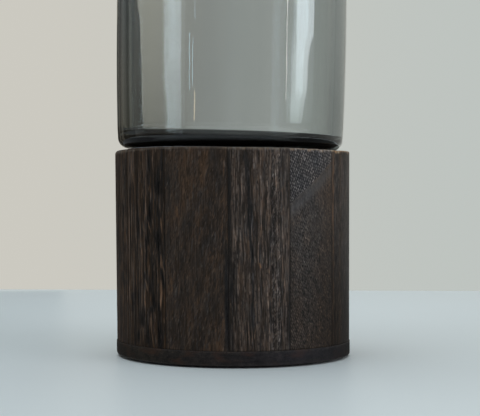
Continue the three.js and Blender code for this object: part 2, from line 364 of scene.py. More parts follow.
# ---- staves ---------------------------------------------------------------------------
class Figure:
    """Tone, warmth and relief of a stave's turned face, painted on its grid. s runs across
    the stave from its left seam and z up it, both in millimetres. Tone runs from 0, black, to
    1, the lightest streak; warmth from -1, blue-black, over 0, grey-brown, to 1, orange."""

    def __init__(self, s, z, seed, tone, warm):
        self.s, self.z, self.seed, self.width = s, z, seed, s[-1]
        self.S, self.Z = np.meshgrid(s, z)
        self.tone = np.full(self.S.shape, float(tone))
        self.warm = np.full(self.S.shape, float(warm))
        self.rise = np.zeros(self.S.shape)

    def streak(self, s0, z0, s1, z1, width, tone, warm, sway=0.12, rise=0.16):
        """One tapering streak of fibre. A light one stands a little proud, a dark one lies lower."""
        i0, i1 = np.searchsorted(self.z, (min(z0, z1), max(z0, z1)))
        if i1 - i0 < 3:
            return
        u = (self.z[i0:i1] - z0) / (z1 - z0)
        mid = s0 + (s1 - s0) * u + sway * np.sin(self.z[i0:i1] * 0.42 + 5 * s0)
        j0, j1 = np.searchsorted(self.s, (mid.min() - 2.4 * width, mid.max() + 2.4 * width))
        if j1 - j0 < 1:
            return
        across = (self.s[j0:j1][None, :] - mid[:, None]) / width
        amount = np.exp(-across**2) * (1 - np.abs(2 * u - 1) ** 3)[:, None]
        here = (slice(i0, i1), slice(j0, j1))
        self.tone[here] += tone * amount
        self.warm[here] += (warm - self.warm[here]) * np.clip(1.3 * amount, 0, 1)
        self.rise[here] += rise * tone * amount

    def patch(self, s0, z0, s1, z1, width, tone, warm):
        """A patch of many short fibres, so that its outline frays."""
        lean = (s1 - s0) / (z1 - z0)
        salt = self.seed * 53 + int(round(7 * s0 + 3 * z0))
        for k in range(int(13 * width + 5)):
            a, b, c, d, e = (float(chance(k, q, salt)) for q in range(5))
            mid = z0 + (z1 - z0) * (0.12 + 0.76 * c)
            half = abs(z1 - z0) * (0.12 + 0.22 * d)
            off = (a + b - 1.0) * 1.5 * width
            self.streak(
                s0 + lean * (mid - half - z0) + off, mid - half, s0 + lean * (mid + half - z0) + off, mid + half,
                0.15 + 0.17 * e, tone * (0.6 + 0.6 * d), warm, sway=0.1,
            )

    def stitched(self, s0, z0, s1, z1, width, tone, warm, length=(1.0, 3.0), gap=(0.2, 0.9)):
        """A line broken into short lengths that don't quite meet."""
        lean = (s1 - s0) / (z1 - z0)
        salt = self.seed * 47 + int(round(11 * s0 + 5 * z0))
        low, high, k = min(z0, z1), max(z0, z1), 0
        while low < high:
            a, b, c, d = (float(chance(k, q, salt)) for q in range(4))
            end = min(low + length[0] + (length[1] - length[0]) * a, high)
            off = 0.3 * (c - 0.5)
            self.streak(
                s0 + lean * (low - z0) + off, low - 0.4, s0 + lean * (end - z0) + off, end + 0.4,
                width * (0.8 + 0.4 * d), tone * (0.55 + 0.75 * c), warm, sway=0.05,
            )
            low, k = end + gap[0] + (gap[1] - gap[0]) * b, k + 1

    def family(self, count, salt, s_span, z_span, length, width, tone, warm, lean=0.0, sway=0.15, rise=0.16):
        """Many streaks with chance places; lean is how far s grows with each millimetre up."""
        pick = lambda k, q, span: span[0] + (span[1] - span[0]) * float(chance(k, q, self.seed * 31 + salt))
        for k in range(count):
            s, z = pick(k, 0, s_span), pick(k, 1, z_span)
            half = pick(k, 2, length) / 2
            self.streak(
                s - lean * half, z - half, s + lean * half, z + half,
                pick(k, 3, width), pick(k, 4, tone), pick(k, 5, warm), sway, rise,
            )

    def fibres(self, strength, fine=0.8, long=22.0, bend=1.2):
        """Close parallel fibres, none of them much wider than half a millimetre."""
        q = self.S + bend * (cloud(self.S / 9, self.Z / 36, self.seed + 3) - 0.5)
        a = noise(q / fine, self.Z / long, self.seed + 4)
        b = noise(q / (fine * 0.55), self.Z / (long * 0.4), self.seed + 5)
        c = noise(q / (fine * 1.9), self.Z / (long * 1.6), self.seed + 6)
        all_three = 0.45 * a + 0.3 * b + 0.25 * c - 0.5
        self.tone += strength * all_three
        self.rise += 0.10 * strength * all_three

    def cloudy(self, strength, across=5.0, along=14.0, lean=0.0, warm=0.0, salt=11):
        c = cloud((self.S - lean * self.Z) / across, self.Z / along, self.seed + salt) - 0.5
        self.tone += strength * c
        self.warm += warm * c


def ribbon(f, placed):
    """Long brown lines at the left; black patches and short orange flecks at the right."""
    w = f.width
    f.fibres(0.42, 0.6, 26)
    f.cloudy(0.14, 3.5, 15, warm=0.8)
    f.family(80, 1, (0, 0.6 * w), (10, 100), (14, 46), (0.14, 0.24), (0.06, 0.20), (0.0, 0.7))
    f.family(60, 2, (0, w), (8, 100), (8, 30), (0.16, 0.36), (-0.15, -0.06), (-0.8, 0.0))
    f.family(90, 3, (0.45 * w, w), (8, 98), (3, 11), (0.2, 0.45), (-0.14, -0.05), (-0.5, 0.0))
    f.family(110, 4, (0.4 * w, w), (8, 100), (2, 9), (0.14, 0.28), (0.07, 0.24), (0.1, 0.9), sway=0.3)
    f.family(420, 5, (0, w), (8, 100), (1.2, 4.5), (0.13, 0.22), (-0.15, 0.15), (-0.2, 0.7))
    if placed:
        # the long brown lines
        for s0, z0, s1, z1, width, tone in (
            (4.7, 100, 4.8, 89, 0.42, 0.30), (2.9, 91, 2.5, 81, 0.36, 0.22), (5.9, 92, 6.0, 83, 0.36, 0.20),
            (4.4, 75, 4.2, 55, 0.42, 0.32), (2.3, 75, 1.7, 60, 0.36, 0.18), (7.7, 78, 7.0, 57, 0.36, 0.16),
            (10.0, 85, 9.7, 74, 0.36, 0.18), (15.9, 101, 15.5, 64, 0.62, 0.15), (14.5, 66, 13.8, 47, 0.62, 0.17),
            (20.5, 101, 20.6, 90, 0.32, 0.26), (24.8, 101, 24.8, 89, 0.32, 0.24), (26.6, 100, 27.6, 80, 0.3, 0.18),
            (23.0, 54, 22.4, 25, 0.28, 0.24), (4.2, 48, 4.4, 38, 0.7, 0.18), (1.7, 40, 1.7, 26, 0.4, 0.24),
            (11.4, 48, 10.9, 38, 0.4, 0.18),
        ):
            f.streak(s0, z0, s1, z1, 0.72 * width, tone, 0.5)
        # black patches
        for s0, z0, s1, z1, width in (
            (18.0, 100, 18.1, 82, 1.1), (24.1, 91, 23.7, 80, 1.3), (18.0, 74, 18.1, 65, 1.2), (10.1, 69, 9.7, 59, 1.1),
            (16.7, 66, 16.8, 56, 0.9), (23.8, 63, 24.0, 53, 1.8), (14.4, 43, 14.5, 36, 0.8), (25.6, 45, 26.5, 35, 0.7),
            (4.9, 34, 5.0, 24, 1.4), (20.0, 34, 20.1, 24, 1.0), (12.2, 26, 12.3, 18, 2.0), (9.4, 16, 9.4, 8, 0.8),
            (16.3, 21, 16.3, 9, 0.8), (24.1, 18, 24.3, 8, 1.4),
        ):
            f.patch(s0, z0, s1, z1, width, -0.085, -0.25)
        # orange flecks
        for s0, z0, s1, z1, width, tone in (
            (16.7, 68, 19.0, 61, 0.42, 0.42), (17.3, 56, 18.3, 51, 0.45, 0.30), (25.2, 69, 25.6, 60, 0.40, 0.36),
            (24.8, 52, 25.5, 44, 0.55, 0.55), (25.5, 47, 26.8, 43, 0.40, 0.30), (14.7, 40, 16.4, 34, 0.55, 0.46),
            (25.1, 40, 24.6, 25, 0.66, 0.50), (25.9, 36, 24.2, 24, 0.34, 0.28), (19.0, 25, 18.2, 17, 0.46, 0.46),
            (18.3, 20, 19.8, 8, 0.38, 0.36), (13.1, 18, 12.4, 9, 0.42, 0.32),
        ):
            f.streak(s0, z0, s1, z1, 0.8 * width, 0.75 * tone, 0.75)


def plain(f, placed):
    """Chocolate brown with a short broken texture that leans to the right."""
    w = f.width
    f.fibres(0.14, 0.55, 7, bend=2.0)
    f.cloudy(0.13, 4.5, 20, lean=0.2, warm=1.0)
    f.cloudy(0.09, 2.0, 6, lean=0.3, warm=0.8, salt=12)
    f.family(1500, 1, (0, w), (8, 101), (1.0, 3.2), (0.13, 0.24), (-0.16, 0.17), (-0.2, 1.0), lean=0.26, sway=0.03)
    f.family(260, 2, (0, w), (8, 101), (2.5, 8), (0.14, 0.26), (-0.10, 0.09), (-0.3, 0.9), lean=0.1)
    if placed:
        f.streak(21.1, 101, 18.1, 80, 1.4, 0.06, 0.9)
        f.streak(11.5, 96, 9.0, 70, 1.6, 0.04, 0.8)
        f.streak(29.6, 96, 28.8, 87, 0.42, 0.14, 0.8)
        f.streak(29.5, 95, 29.6, 91.5, 0.45, 0.24, 0.3)
        f.streak(6.2, 74, 7.2, 68, 0.7, 0.10, 1.0)
        f.streak(30.0, 56, 30.0, 6, 0.8, -0.13, -0.7)
        f.streak(30.5, 33, 30.5, 6, 0.3, -0.12, -0.7)


def striped(f, placed):
    """Thin wavy beige lines over dark brown, a dark strip at the left seam, a dark wedge."""
    w = f.width
    f.fibres(0.46, 0.55, 13)
    f.cloudy(0.09, 3.0, 18, warm=0.8)
    f.family(150, 1, (1.0, 9.5), (8, 101), (2, 12), (0.13, 0.22), (0.05, 0.22), (-0.1, 0.6))
    f.family(150, 2, (10.5, 19.5), (8, 101), (2, 12), (0.13, 0.22), (0.06, 0.24), (0.0, 0.6))
    f.family(260, 3, (18.5, w), (8, 101), (2, 14), (0.13, 0.22), (0.06, 0.24), (0.0, 0.6), sway=0.2)
    f.family(520, 4, (18.0, w), (8, 101), (1.2, 4.0), (0.13, 0.22), (-0.17, 0.24), (-0.1, 0.6), sway=0.2)
    f.family(120, 5, (0, w), (8, 101), (4, 18), (0.16, 0.30), (-0.15, -0.05), (-0.7, 0.3))
    f.family(700, 6, (0.5, 19.0), (8, 101), (1.0, 3.4), (0.13, 0.22), (-0.18, 0.22), (-0.1, 0.6))
    # a lacy strip of short slanting stitches
    f.family(230, 7, (20.2, 24.4), (8, 101), (0.9, 2.2), (0.14, 0.22), (0.10, 0.42), (-0.2, 0.3), lean=0.35, sway=0.0)
    f.family(230, 8, (20.2, 24.4), (8, 101), (0.9, 2.2), (0.14, 0.22), (-0.24, -0.08), (-0.3, 0.3), lean=-0.35, sway=0.0)
    if placed:
        # dark strip beside the seam, wider towards the foot
        h = np.clip((f.Z - 10) / 90, 0, 1)
        edge = 0.9 + 1.3 * (1 - h) ** 1.4 + 0.25 * (cloud(f.Z / 7, f.Z * 0 + 3, 77) - 0.5)
        strip = (1 - step(f.S, edge - 0.5, edge + 0.5)) * (0.5 + 0.5 * step(h, 1.0, 0.86))
        strip = strip * (0.55 + 0.45 * step(cloud(f.S / 0.5, f.Z / 3.0, 78), 0.35, 0.6))
        f.tone *= 1 - 0.20 * strip
        f.warm += (-0.5 - f.warm) * strip * 0.6
        f.rise -= 0.03 * strip
        f.streak(1.0, 33, 1.1, 20, 0.3, 0.12, 0.6)
        f.patch(8.0, 101, 8.4, 88, 0.9, -0.055, -0.4)
        f.patch(9.2, 90, 10.5, 61, 0.9, -0.075, -0.6)
        f.patch(10.7, 62, 11.1, 45, 0.7, -0.070, -0.6)
        f.patch(11.0, 40, 11.1, 19, 0.6, -0.065, -0.6)
        f.stitched(24.9, 102, 24.7, 6, 0.32, -0.13, -0.3, (3.0, 8.0), (0.3, 1.5))
        f.stitched(20.7, 102, 20.6, 6, 0.30, -0.10, -0.3, (3.0, 8.0), (0.3, 1.5))
        f.stitched(29.1, 42, 29.2, 12, 0.32, -0.16, -0.6, (3.0, 7.0), (0.3, 1.2))
        # light lines
        for s0, z0, s1, z1, width, tone, warm in (
            (2.3, 100, 2.3, 80, 0.22, 0.26, 0.3), (2.8, 91, 2.7, 72, 0.22, 0.22, 0.3), (3.7, 100, 4.0, 79, 0.22, 0.22, 0.2),
            (4.8, 101, 4.9, 90, 0.22, 0.28, 0.2), (3.1, 64, 3.0, 48, 0.3, 0.24, 0.6), (4.0, 63, 4.0, 58, 0.26, 0.34, 0.4),
            (5.6, 63, 5.7, 51, 0.22, 0.26, 0.4), (6.4, 89, 6.4, 76, 0.22, 0.30, 0.2), (7.2, 91, 7.1, 76, 0.22, 0.24, 0.4),
            (11.7, 102, 11.8, 91, 0.28, 0.46, 0.1), (13.3, 90, 13.5, 82, 0.26, 0.34, 0.2), (14.9, 96, 15.3, 80, 0.24, 0.30, 0.3),
            (17.7, 93, 17.9, 83, 0.26, 0.40, 0.2), (18.5, 82, 18.5, 62, 0.22, 0.32, 0.4), (15.8, 63, 16.0, 48, 0.26, 0.26, 0.6),
            (13.7, 60, 13.8, 48, 0.24, 0.26, 0.7), (12.2, 51, 12.3, 21, 0.22, 0.26, 0.5), (9.8, 43, 9.6, 34, 0.22, 0.30, 0.5),
            (14.2, 37, 13.9, 8, 0.3, 0.32, 0.7), (17.3, 58, 18.2, 27, 0.26, 0.36, 0.5), (18.3, 32, 19.0, 8, 0.26, 0.30, 0.6),
            (4.0, 52, 4.5, 22, 0.3, 0.28, 0.5), (6.7, 44, 7.4, 35, 0.26, 0.30, 0.5), (4.8, 24, 5.6, 8, 0.24, 0.24, 0.5),
            (22.9, 102, 22.8, 6, 0.5, 0.15, 0.2), (27.4, 98, 27.4, 6, 0.6, 0.13, 0.3),
        ):
            f.stitched(s0, z0, s1, z1, width, 1.1 * tone, 0.45 * warm)
        f.streak(14.0, 48.5, 14.9, 45.5, 0.45, 0.34, 0.9)
    f.tone -= 0.45 * np.clip(f.tone - 0.56, 0, None)


def pored(f, placed):
    """Open-pored above a slanting line, then a smooth band, then a finer mottled texture."""
    w = f.width
    line = 75.2 + 0.76 * f.S
    above = step(f.Z - line, -0.4, 0.6)
    f.tone += -0.07 * above
    f.warm += -0.45 * above
    f.cloudy(0.07, 5.0, 12, warm=0.6)
    band = np.exp(-(((f.Z - line + 3.4) / 3.4) ** 2)) * (1 - above)
    # a close lattice of dashes that lean to the left going up, strong above the line
    bend = 1.1 * (cloud(f.S / 7, f.Z / 9, f.seed + 5, 2) - 0.5)
    turn = math.radians(27)
    u = (f.S + bend) * math.cos(turn) + f.Z * math.sin(turn)
    v = f.Z * math.cos(turn) - f.S * math.sin(turn)
    dash = dashes(u, v, 0.98, 1.9, f.seed + 21) + 0.25 * noise(u / 0.5, v / 0.8, f.seed + 22) - 0.46
    f.tone += 0.93 * dash * above + 0.13 * above
    f.rise += 0.04 * dash * above
    f.warm += 0.3 * dash * above
    fine = Figure(f.s, f.z, f.seed + 1, 0.0, 0.0)
    fine.family(5200, 2, (-1, w + 1), (8, 99), (0.6, 1.4), (0.13, 0.18), (-0.26, 0.28), (-0.4, 0.3), lean=-0.35, sway=0.0)
    fine.family(240, 3, (0, 0.62 * w), (44, 72), (0.9, 2.0), (0.13, 0.18), (0.04, 0.18), (-0.4, 0.3), lean=-0.4, sway=0.0)
    fine.family(220, 4, (0.3 * w, w), (8, 44), (1.0, 2.4), (0.13, 0.18), (-0.15, 0.12), (-0.4, 0.5), lean=-0.4, sway=0.0)
    fine.family(1100, 5, (0.25 * w, w + 1), (8, 62), (0.7, 1.8), (0.14, 0.22), (-0.20, -0.06), (-0.4, 0.3), lean=-0.4, sway=0.0)
    fine.family(260, 6, (0.25 * w, w + 1), (8, 62), (0.9, 2.2), (0.14, 0.20), (0.04, 0.12), (-0.2, 0.4), lean=-0.4, sway=0.0)
    quiet = (1 - above) * (1 - 0.6 * band)
    # the lattice goes on faintly at the left below the line
    left = 0.15 + 0.85 * (1 - step(f.S, 0.35 * w, 0.75 * w)) * (0.35 + 0.65 * step(cloud(f.S / 7, f.Z / 10, f.seed + 8), 0.35, 0.65))
    f.tone += (1.45 * fine.tone + 0.50 * dash * left) * quiet + 0.15 * band
    f.warm += fine.warm * quiet * 0.6 - 0.65 * band + 0.15 * (1 - above)
    # darker towards the foot, most of all at the right
    f.tone -= (0.05 + 0.09 * step(f.S, 0.3 * w, 0.9 * w)) * (1 - step(f.Z, 22, 70))
    f.rise += 0.5 * (fine.rise + 0.03 * dash * left) * quiet
    # cool at the left seam, brown at the right and towards the foot
    f.warm += 0.55 * step(f.S, 0.3 * w, 1.1 * w) * (1 - above) + 0.35 * (1 - step(f.Z, 20, 62))
    f.tone -= 0.03 * step(f.S, 0.5 * w, w) * (1 - step(f.Z, 14, 40))
    second = np.exp(-(((f.Z - (76.2 + 0.19 * f.S)) / 0.6) ** 2))
    f.tone -= 0.07 * second * step(f.S, 1, 5) * (0.4 + 0.6 * noise(f.S / 0.8, f.Z / 2.0, 31))
    f.tone += 0.09 * np.exp(-(((f.Z - line + 0.5) / 0.45) ** 2))
    f.tone -= 0.25 * np.clip(f.tone - 0.60, 0, None) * above + 0.5 * np.clip(f.tone - 0.40, 0, None) * (1 - above)


def calm(f, placed):
    """Smooth, with a double brown line near the left seam."""
    w = f.width
    f.fibres(0.20, 0.55, 12)
    f.cloudy(0.12, 3.0, 6, warm=0.7)
    f.family(2300, 1, (0, w), (8, 101), (1.4, 4.5), (0.16, 0.30), (-0.17, 0.17), (-0.5, 0.3), sway=0.03)
    f.family(60, 2, (0, w), (8, 101), (8, 34), (0.16, 0.34), (-0.14, 0.08), (-0.4, 0.5))
    f.tone += 0.09 * step(f.Z, 40, 85) - (0.08 + 0.10 * (1 - step(f.S, 3.5, 10.0))) * (1 - step(f.Z, 12, 62))
    f.warm += 0.9 * (1 - step(f.Z, 12, 62)) * (1 - step(f.S, 3.5, 12.0))
    f.warm += 0.7 * (np.exp(-(((f.S - 1.6) / 0.8) ** 2)) + 0.6 * np.exp(-(((f.S - 8.6) / 1.6) ** 2)))
    if placed:
        f.streak(1.4, 104, 2.0, 8, 0.34, 0.15, 1.0)
        f.streak(0.5, 100, 0.6, 40, 0.3, 0.10, 0.9)
        f.streak(2.9, 104, 3.0, 8, 0.3, -0.10, -0.5)


def dull(f, placed):
    """Close faint lines, greyish."""
    f.fibres(0.26, 0.6, 20)
    f.cloudy(0.14, 4.0, 14, warm=0.8)
    f.family(190, 1, (0, f.width), (8, 101), (5, 26), (0.15, 0.34), (-0.13, 0.13), (-0.6, 0.9))
    f.family(420, 2, (0, f.width), (8, 101), (1.2, 4.0), (0.15, 0.26), (-0.12, 0.12), (-0.4, 0.8))


def arris_radius(theta):
    """Rounding of the ring's upper outer edge: soft at the left, nearly sharp at the right."""
    left = 0.5 - 0.5 * np.sin(np.radians(theta))
    return 0.5 + 1.2 * left**5


EDGE_LINE = np.array([
    (-70.0, 0.0), (-51.0, 0.40), (-33.0, 0.40), (-25.0, 0.30), (-11.5, 0.05), (1.0, -0.20), (14.0, -0.15), (28.0, -0.10),
    (35.0, -0.30), (44.0, -0.30), (55.0, -0.42), (76.0, 0.0),
])


def edge_rise(theta):
    """How far hand sanding left the upper outer edge above or below its plane."""
    return np.interp(theta, EDGE_LINE[:, 0], EDGE_LINE[:, 1])


def make_stave(name, a, b, kind, seed, fine, tone, warm, placed):
    half = math.degrees(0.05 / BASE_R)
    a, b = a + half, b - half
    width = math.radians(b - a) * BASE_R
    across = int(round(width / fine))
    up = int(round((BASE_TOP - DISC_HIGH) / fine))
    theta = np.linspace(a, b, across + 1)
    sin, cos = np.sin(np.radians(theta)), np.cos(np.radians(theta))
    s = np.radians(theta - a) * BASE_R
    ease = np.minimum(s, width - s)
    rho = arris_radius(theta)
    front = step(theta, -6, 0) * (1 - step(theta, 18, 24))
    # how strong the painted highlight line along the top of the rounding is, strongest at the front left
    pale = np.interp(theta, (-80, -60, -48, -33, -25, -17, -9, 0), (0.3, 0.6, 1.0, 1.0, 0.8, 0.55, 0.35, 0.3))
    raised = edge_rise(theta)
    top = BASE_TOP + TOP_SLOPE * TOP_R * cos + raised
    # chips knocked out of the upper edge, more of them at the right
    chip = step(noise(theta * 0.55, theta * 0 + seed, 901), 0.62, 0.9) * (0.35 + 0.65 * step(theta, -10, 40))
    chip = chip + 0.6 * step(noise(theta * 1.7, theta * 0 + seed, 902), 0.72, 0.95) * step(theta, -20, 20)
    chip = np.clip(chip, 0, 1)
    rows = {"r": [], "z": [], "tone": [], "warm": [], "wear": [], "pale": []}

    def row(r, z, tone, warm, wear, pale=0.0):
        for key, value in zip(rows, (r, z, tone, warm, wear, pale)):
            rows[key].append(value + 0 * s)

    low = DISC_HIGH
    figure = Figure(s, np.linspace(low, BASE_TOP, up + 1), seed, tone, warm)
    kind(figure, placed)
    relief = np.clip(figure.rise, -0.14, 0.12)
    seam = 0.09 * np.exp(-((ease / 0.25) ** 2))  # sanding opens the glue line a little
    dark_seam = np.exp(-((ease / 0.22) ** 2))
    top_start = top - rho
    for k in range(up + 1):
        t = k / up
        z = low + (top_start - low) * t
        away = np.clip((z - low) / 0.5, 0, 1)
        bottom = 0.2 * (1 - step(z, low, low + 0.4))
        bump = relief[k] * (0.35 + 0.65 * away) - seam - bottom
        near = 1 - step(top_start - z, 0.0, 0.8 + 1.2 * chip)
        bitten = chip * near * 0.3
        # the band just under the upper edge is lighter: chips and rubbing, and painted highlight that is stronger in
        # front
        worn = 0.9 * chip * (1 - step(top_start - z, 0.0, 1.4)) + (0.30 + 0.2 * front) * (1 - step(top_start - z, 0.0, 0.6 + 0.4 * front))
        row(ring_radius(z) + bump - bitten, z, figure.tone[k] * (1 - 0.5 * dark_seam), figure.warm[k], np.clip(worn, 0, 1))
    tone_top, warm_top, r_top = rows["tone"][-1], rows["warm"][-1], rows["r"][-1]
    # the arris rounding: rubbed and chipped, and lighter in front and to the right as painted highlight, dull at the
    # left
    rub_and_highlight = (0.45 + 0.3 * chip) * (0.3 + 0.3 * step(theta, -52, -38) + 0.4 * step(theta, -14, 4)) + 0.3 * front + 0.5 * step(theta, 22, 40) * (1 - step(theta, 70, 100))
    for k in range(1, 7):
        t = math.pi / 2 * k / 6
        row(r_top - rho * (1 - math.cos(t)), top_start + rho * math.sin(t) - 0.15 * chip * math.sin(t), tone_top, warm_top, np.clip(rub_and_highlight, 0, 1), pale * float(k > 3))
    r_flat = rows["r"][-1]
    inner = SOCKET_R + 0.5
    for k in range(1, 13):
        t = k / 12
        r = r_flat * (1 - t) + inner * t
        ripple = 0.05 * (cloud(r / 2.0, s / 3.0, seed + 40) - 0.5)
        z = BASE_TOP + TOP_SLOPE * r * cos - 0.03 + ripple - 0.15 * chip * (1 - step(r_flat - r, 0.0, 1.2))
        z = z + raised * (1 - step(r_flat - r, 0.0, 5.0))
        row(r, z, 0.3, 0.3, np.clip(rub_and_highlight * (1 - step(r_flat - r, 0.0, 0.7)), 0, 1), pale * (1 - step(r_flat - r, 0.2, 1.2)))
    row(SOCKET_R + 0.15, BASE_TOP + TOP_SLOPE * SOCKET_R * cos - 0.15, 0.3, 0.3, 0.15)
    row(SOCKET_R, BASE_TOP + TOP_SLOPE * SOCKET_R * cos - 0.5, 0.3, 0.3, 0.1)
    for z in (96.0, 92.0, 88.0, SOCKET_FLOOR):
        row(SOCKET_R, z, 0.3, 0.3, 0.0)
    # inner face of the stave is flat, between its two inner corners
    mid = math.radians((a + b) / 2)
    flat_r = RING_IN_R * math.cos(math.radians(b - a) / 2) / np.cos(np.radians(theta) - mid)
    for z in (SOCKET_FLOOR, 70.0, 50.0, 30.0, low):
        row(flat_r * ring_radius(z) / LOW_R, z, 0.25, 0.3, 0.0)
    for t in (0.35, 0.7):
        row(flat_r * (1 - t) + (LOW_R - 0.6) * t, low, 0.25, 0.3, 0.0)
    r, z = np.array(rows["r"]), np.array(rows["z"])
    x = r * sin + ring_x(z)
    socket = slice(up + 1 + 6, up + 1 + 6 + 18)  # top face and socket wall share the socket's axis
    x[socket] = r[socket] * sin + TOP_X
    verts = np.stack([x, -r * cos, z], -1).reshape(-1, 3)
    count, cols = r.shape
    grid = np.arange(count * cols).reshape(count, cols)
    faces = []
    for j in range(count):
        lower, upper = grid[j], grid[(j + 1) % count]
        faces.extend(zip(lower[:-1].tolist(), lower[1:].tolist(), upper[1:].tolist(), upper[:-1].tolist()))
    faces.append(tuple(grid[::-1, 0].tolist()))
    faces.append(tuple(grid[:, -1].tolist()))
    return finish_mesh(
        name, verts, faces, sharp=50.0,
        attributes={key: np.array(rows[key]).ravel() for key in ("tone", "warm", "wear", "pale")},
    )


planes = list(SEAMS)
rest = 360 - (SEAMS[-1] - SEAMS[0])
rest_count = STAVES - (len(SEAMS) - 1)
planes += [SEAMS[-1] + rest * i / rest_count for i in range(1, rest_count)]
planes.append(SEAMS[0] + 360)

# figure, tone, warmth, how strong its finest fibres are, sheen
LOOKS = [
    (ribbon, 0.285, 0.80, 1.2, 0.06), (plain, 0.335, 0.50, 1.05, 0.10), (striped, 0.325, 0.25, 1.2, 0.12), (pored, 0.345, -0.12, 0.9, 0.16),
    (calm, 0.27, 0.12, 1.2, 0.12), (plain, 0.29, 0.45, 1.0, 0.14), (striped, 0.26, 0.35, 1.0, 0.14), (dull, 0.28, 0.05, 1.0, 0.14),
    (ribbon, 0.28, 0.40, 1.0, 0.14), (plain, 0.31, 0.70, 1.0, 0.14), (pored, 0.28, 0.10, 1.0, 0.18), (ribbon, 0.36, 0.65, 1.3, 0.05),
]
# the upper edge is paler at the right: rubbed wood and painted highlight
ARRIS_WEAR_AND_HIGHLIGHT = {3: {"wear": (0.30, 0.19, 0.12), "rubbed_and_lit_to": (0.46, 0.41, 0.37)}, 4: {"wear": (0.46, 0.25, 0.11), "rubbed_and_lit_to": (0.60, 0.46, 0.33)}}
for i in range(STAVES):
    kind, tone, warm, fibre, shine = LOOKS[i]
    node = "stave_%02d" % (i + 1)
    grid = 0.25 if i < 4 else (0.3 if i in (4, 11) else 0.45)
    piece = make_stave("wood_" + node, planes[i], planes[i + 1], kind, 11 + 7 * i, grid, tone, warm, i < 5)
    piece.data.materials.append(stave_material("wood_" + node, i + 1, fibre, shine=shine, **ARRIS_WEAR_AND_HIGHLIGHT.get(i, {})))
    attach(piece, "base")
    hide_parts(node)


# ---- bottom disc, seat, pad and felt --------------------------------------------------
def disc_material():
    n = Nodes("stained_disc")
    s, z, r = round_coords(n)
    x, y, _ = n.split(n.coords())
    mm = n.join(n.math("MULTIPLY", x, 1000.0), n.math("MULTIPLY", y, 1000.0), n.math("MULTIPLY", z, 1.0))
    # one board with its grain along X: long grain shows at the front, end grain at the sides
    board = n.noise(n.join(n.math("MULTIPLY", x, 60.0), n.math("MULTIPLY", y, 900.0), n.math("MULTIPLY", z, 1.4)), 1.0, 4.0, 0.6)
    mottle = n.noise(mm, 0.22, 4.0, 0.65)
    speck = n.noise(mm, 1.7, 3.0, 0.7)
    tone = n.math("ADD", n.math("MULTIPLY", board, 0.45), n.math("ADD", n.math("MULTIPLY", mottle, 0.55), n.math("MULTIPLY", speck, 0.50)))
    tone = n.math("SUBTRACT", tone, 0.26)
    colour = n.ramp(tone, [(0.3, (0.006, 0.0062, 0.0066)), (0.46, (0.0165, 0.0160, 0.0165)), (0.6, (0.027, 0.025, 0.024)), (0.74, (0.055, 0.046, 0.040))])
    # the stain took unevenly: reddish patches, a violet cast at the right of the front; the same tint ramp also darkens
    # the disc towards the right as painted shade
    red = n.noise(n.join(n.math("MULTIPLY", s, 0.11), n.math("MULTIPLY", z, 0.22), 4.0), 1.0, 3.0, 0.6)
    colour = n.mix(n.remap(red, 0.52, 0.68, 0.0, 0.75), colour, (0.036, 0.022, 0.017))
    stain_tint_and_shade = n.ramp(n.remap(s, -75.0, 75.0, 0.0, 1.0), [
        (0.0, (1.24, 1.0, 0.74)), (0.28, (1.30, 1.10, 0.95)), (0.5, (1.34, 1.16, 1.14)), (0.7, (1.12, 1.04, 1.20)), (0.86, (0.82, 0.75, 0.82)), (1.0, (0.62, 0.55, 0.53)),
    ])
    colour = n.mix(1.0, colour, stain_tint_and_shade, "MULTIPLY")
    edge = n.math("MULTIPLY", n.attribute("wear"), n.remap(speck, 0.42, 0.62, 0.0, 1.0), clamp=True)
    colour = n.mix(edge, colour, (0.05, 0.042, 0.037))
    height = n.math("ADD", n.math("MULTIPLY", board, 0.6), n.math("MULTIPLY", speck, 0.4))
    n.principled(**{
        "Base Color": colour,
        "Roughness": n.remap(tone, 0.3, 0.7, 0.55, 0.7),
        "Specular IOR Level": 0.12,
        "Normal": n.bump(height, 0.5, 0.0003),
    })
    return n.material


def disc_piece():
    rows = [(0.0, DISC_LOW), (20, DISC_LOW), (40, DISC_LOW), (52, DISC_LOW)]
    edge = 0.55
    rows += arc(DISC_R - edge, DISC_LOW + edge, edge, -90, 0, 5)
    rows += [(DISC_R, DISC_LOW + edge + (DISC_T - 2 * edge) * k / 10) for k in range(1, 10)]
    rows += arc(DISC_R - edge, DISC_HIGH - edge, edge, 0, 90, 5)
    rows += [(52, DISC_HIGH), (40, DISC_HIGH), (20, DISC_HIGH), (0.0, DISC_HIGH)]
    worn = []

    def move(v):
        r = np.hypot(v[:, 0], v[:, 1])
        t = np.degrees(np.arctan2(v[:, 0], -v[:, 1]))
        rim = step(r, 54.0, 56.5)
        wave = 0.09 * (cloud((t + 400) / 3.1, v[:, 2] / 3.0, 71) - 0.5) + 0.05 * (noise((t + 400) / 0.9, v[:, 2] / 0.8, 72) - 0.5)
        corner = np.exp(-((v[:, 2] - DISC_LOW) / 0.9) ** 2) + np.exp(-((DISC_HIGH - v[:, 2]) / 0.9) ** 2)
        ding = step(noise((t + 400) / 2.3, v[:, 2] / 4.0, 73), 0.72, 0.92) * corner
        sag = 0.4 * step(-t, 55.0, 90.0) * np.exp(-((v[:, 2] - DISC_LOW) / 1.1) ** 2)
        drop = rim * (wave - 0.05 - 0.22 * ding - sag)
        scale = 1 + drop / np.maximum(r, 1)
        v[:, 0] *= scale
        v[:, 1] *= scale
        worn.extend(np.clip(rim * (0.55 * corner + 0.6 * ding), 0, 1))
        return v

    ob = lathe("stained_disc", rows, 400, move, sharp=50.0, x=LOW_X)
    layer = ob.data.attributes.new("wear", "FLOAT", "POINT")
    layer.data.foreach_set("value", np.asarray(worn, np.float32))
    return ob


disc = disc_piece()
disc.data.materials.append(disc_material())
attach(disc, "base")
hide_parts("bottom_disc")


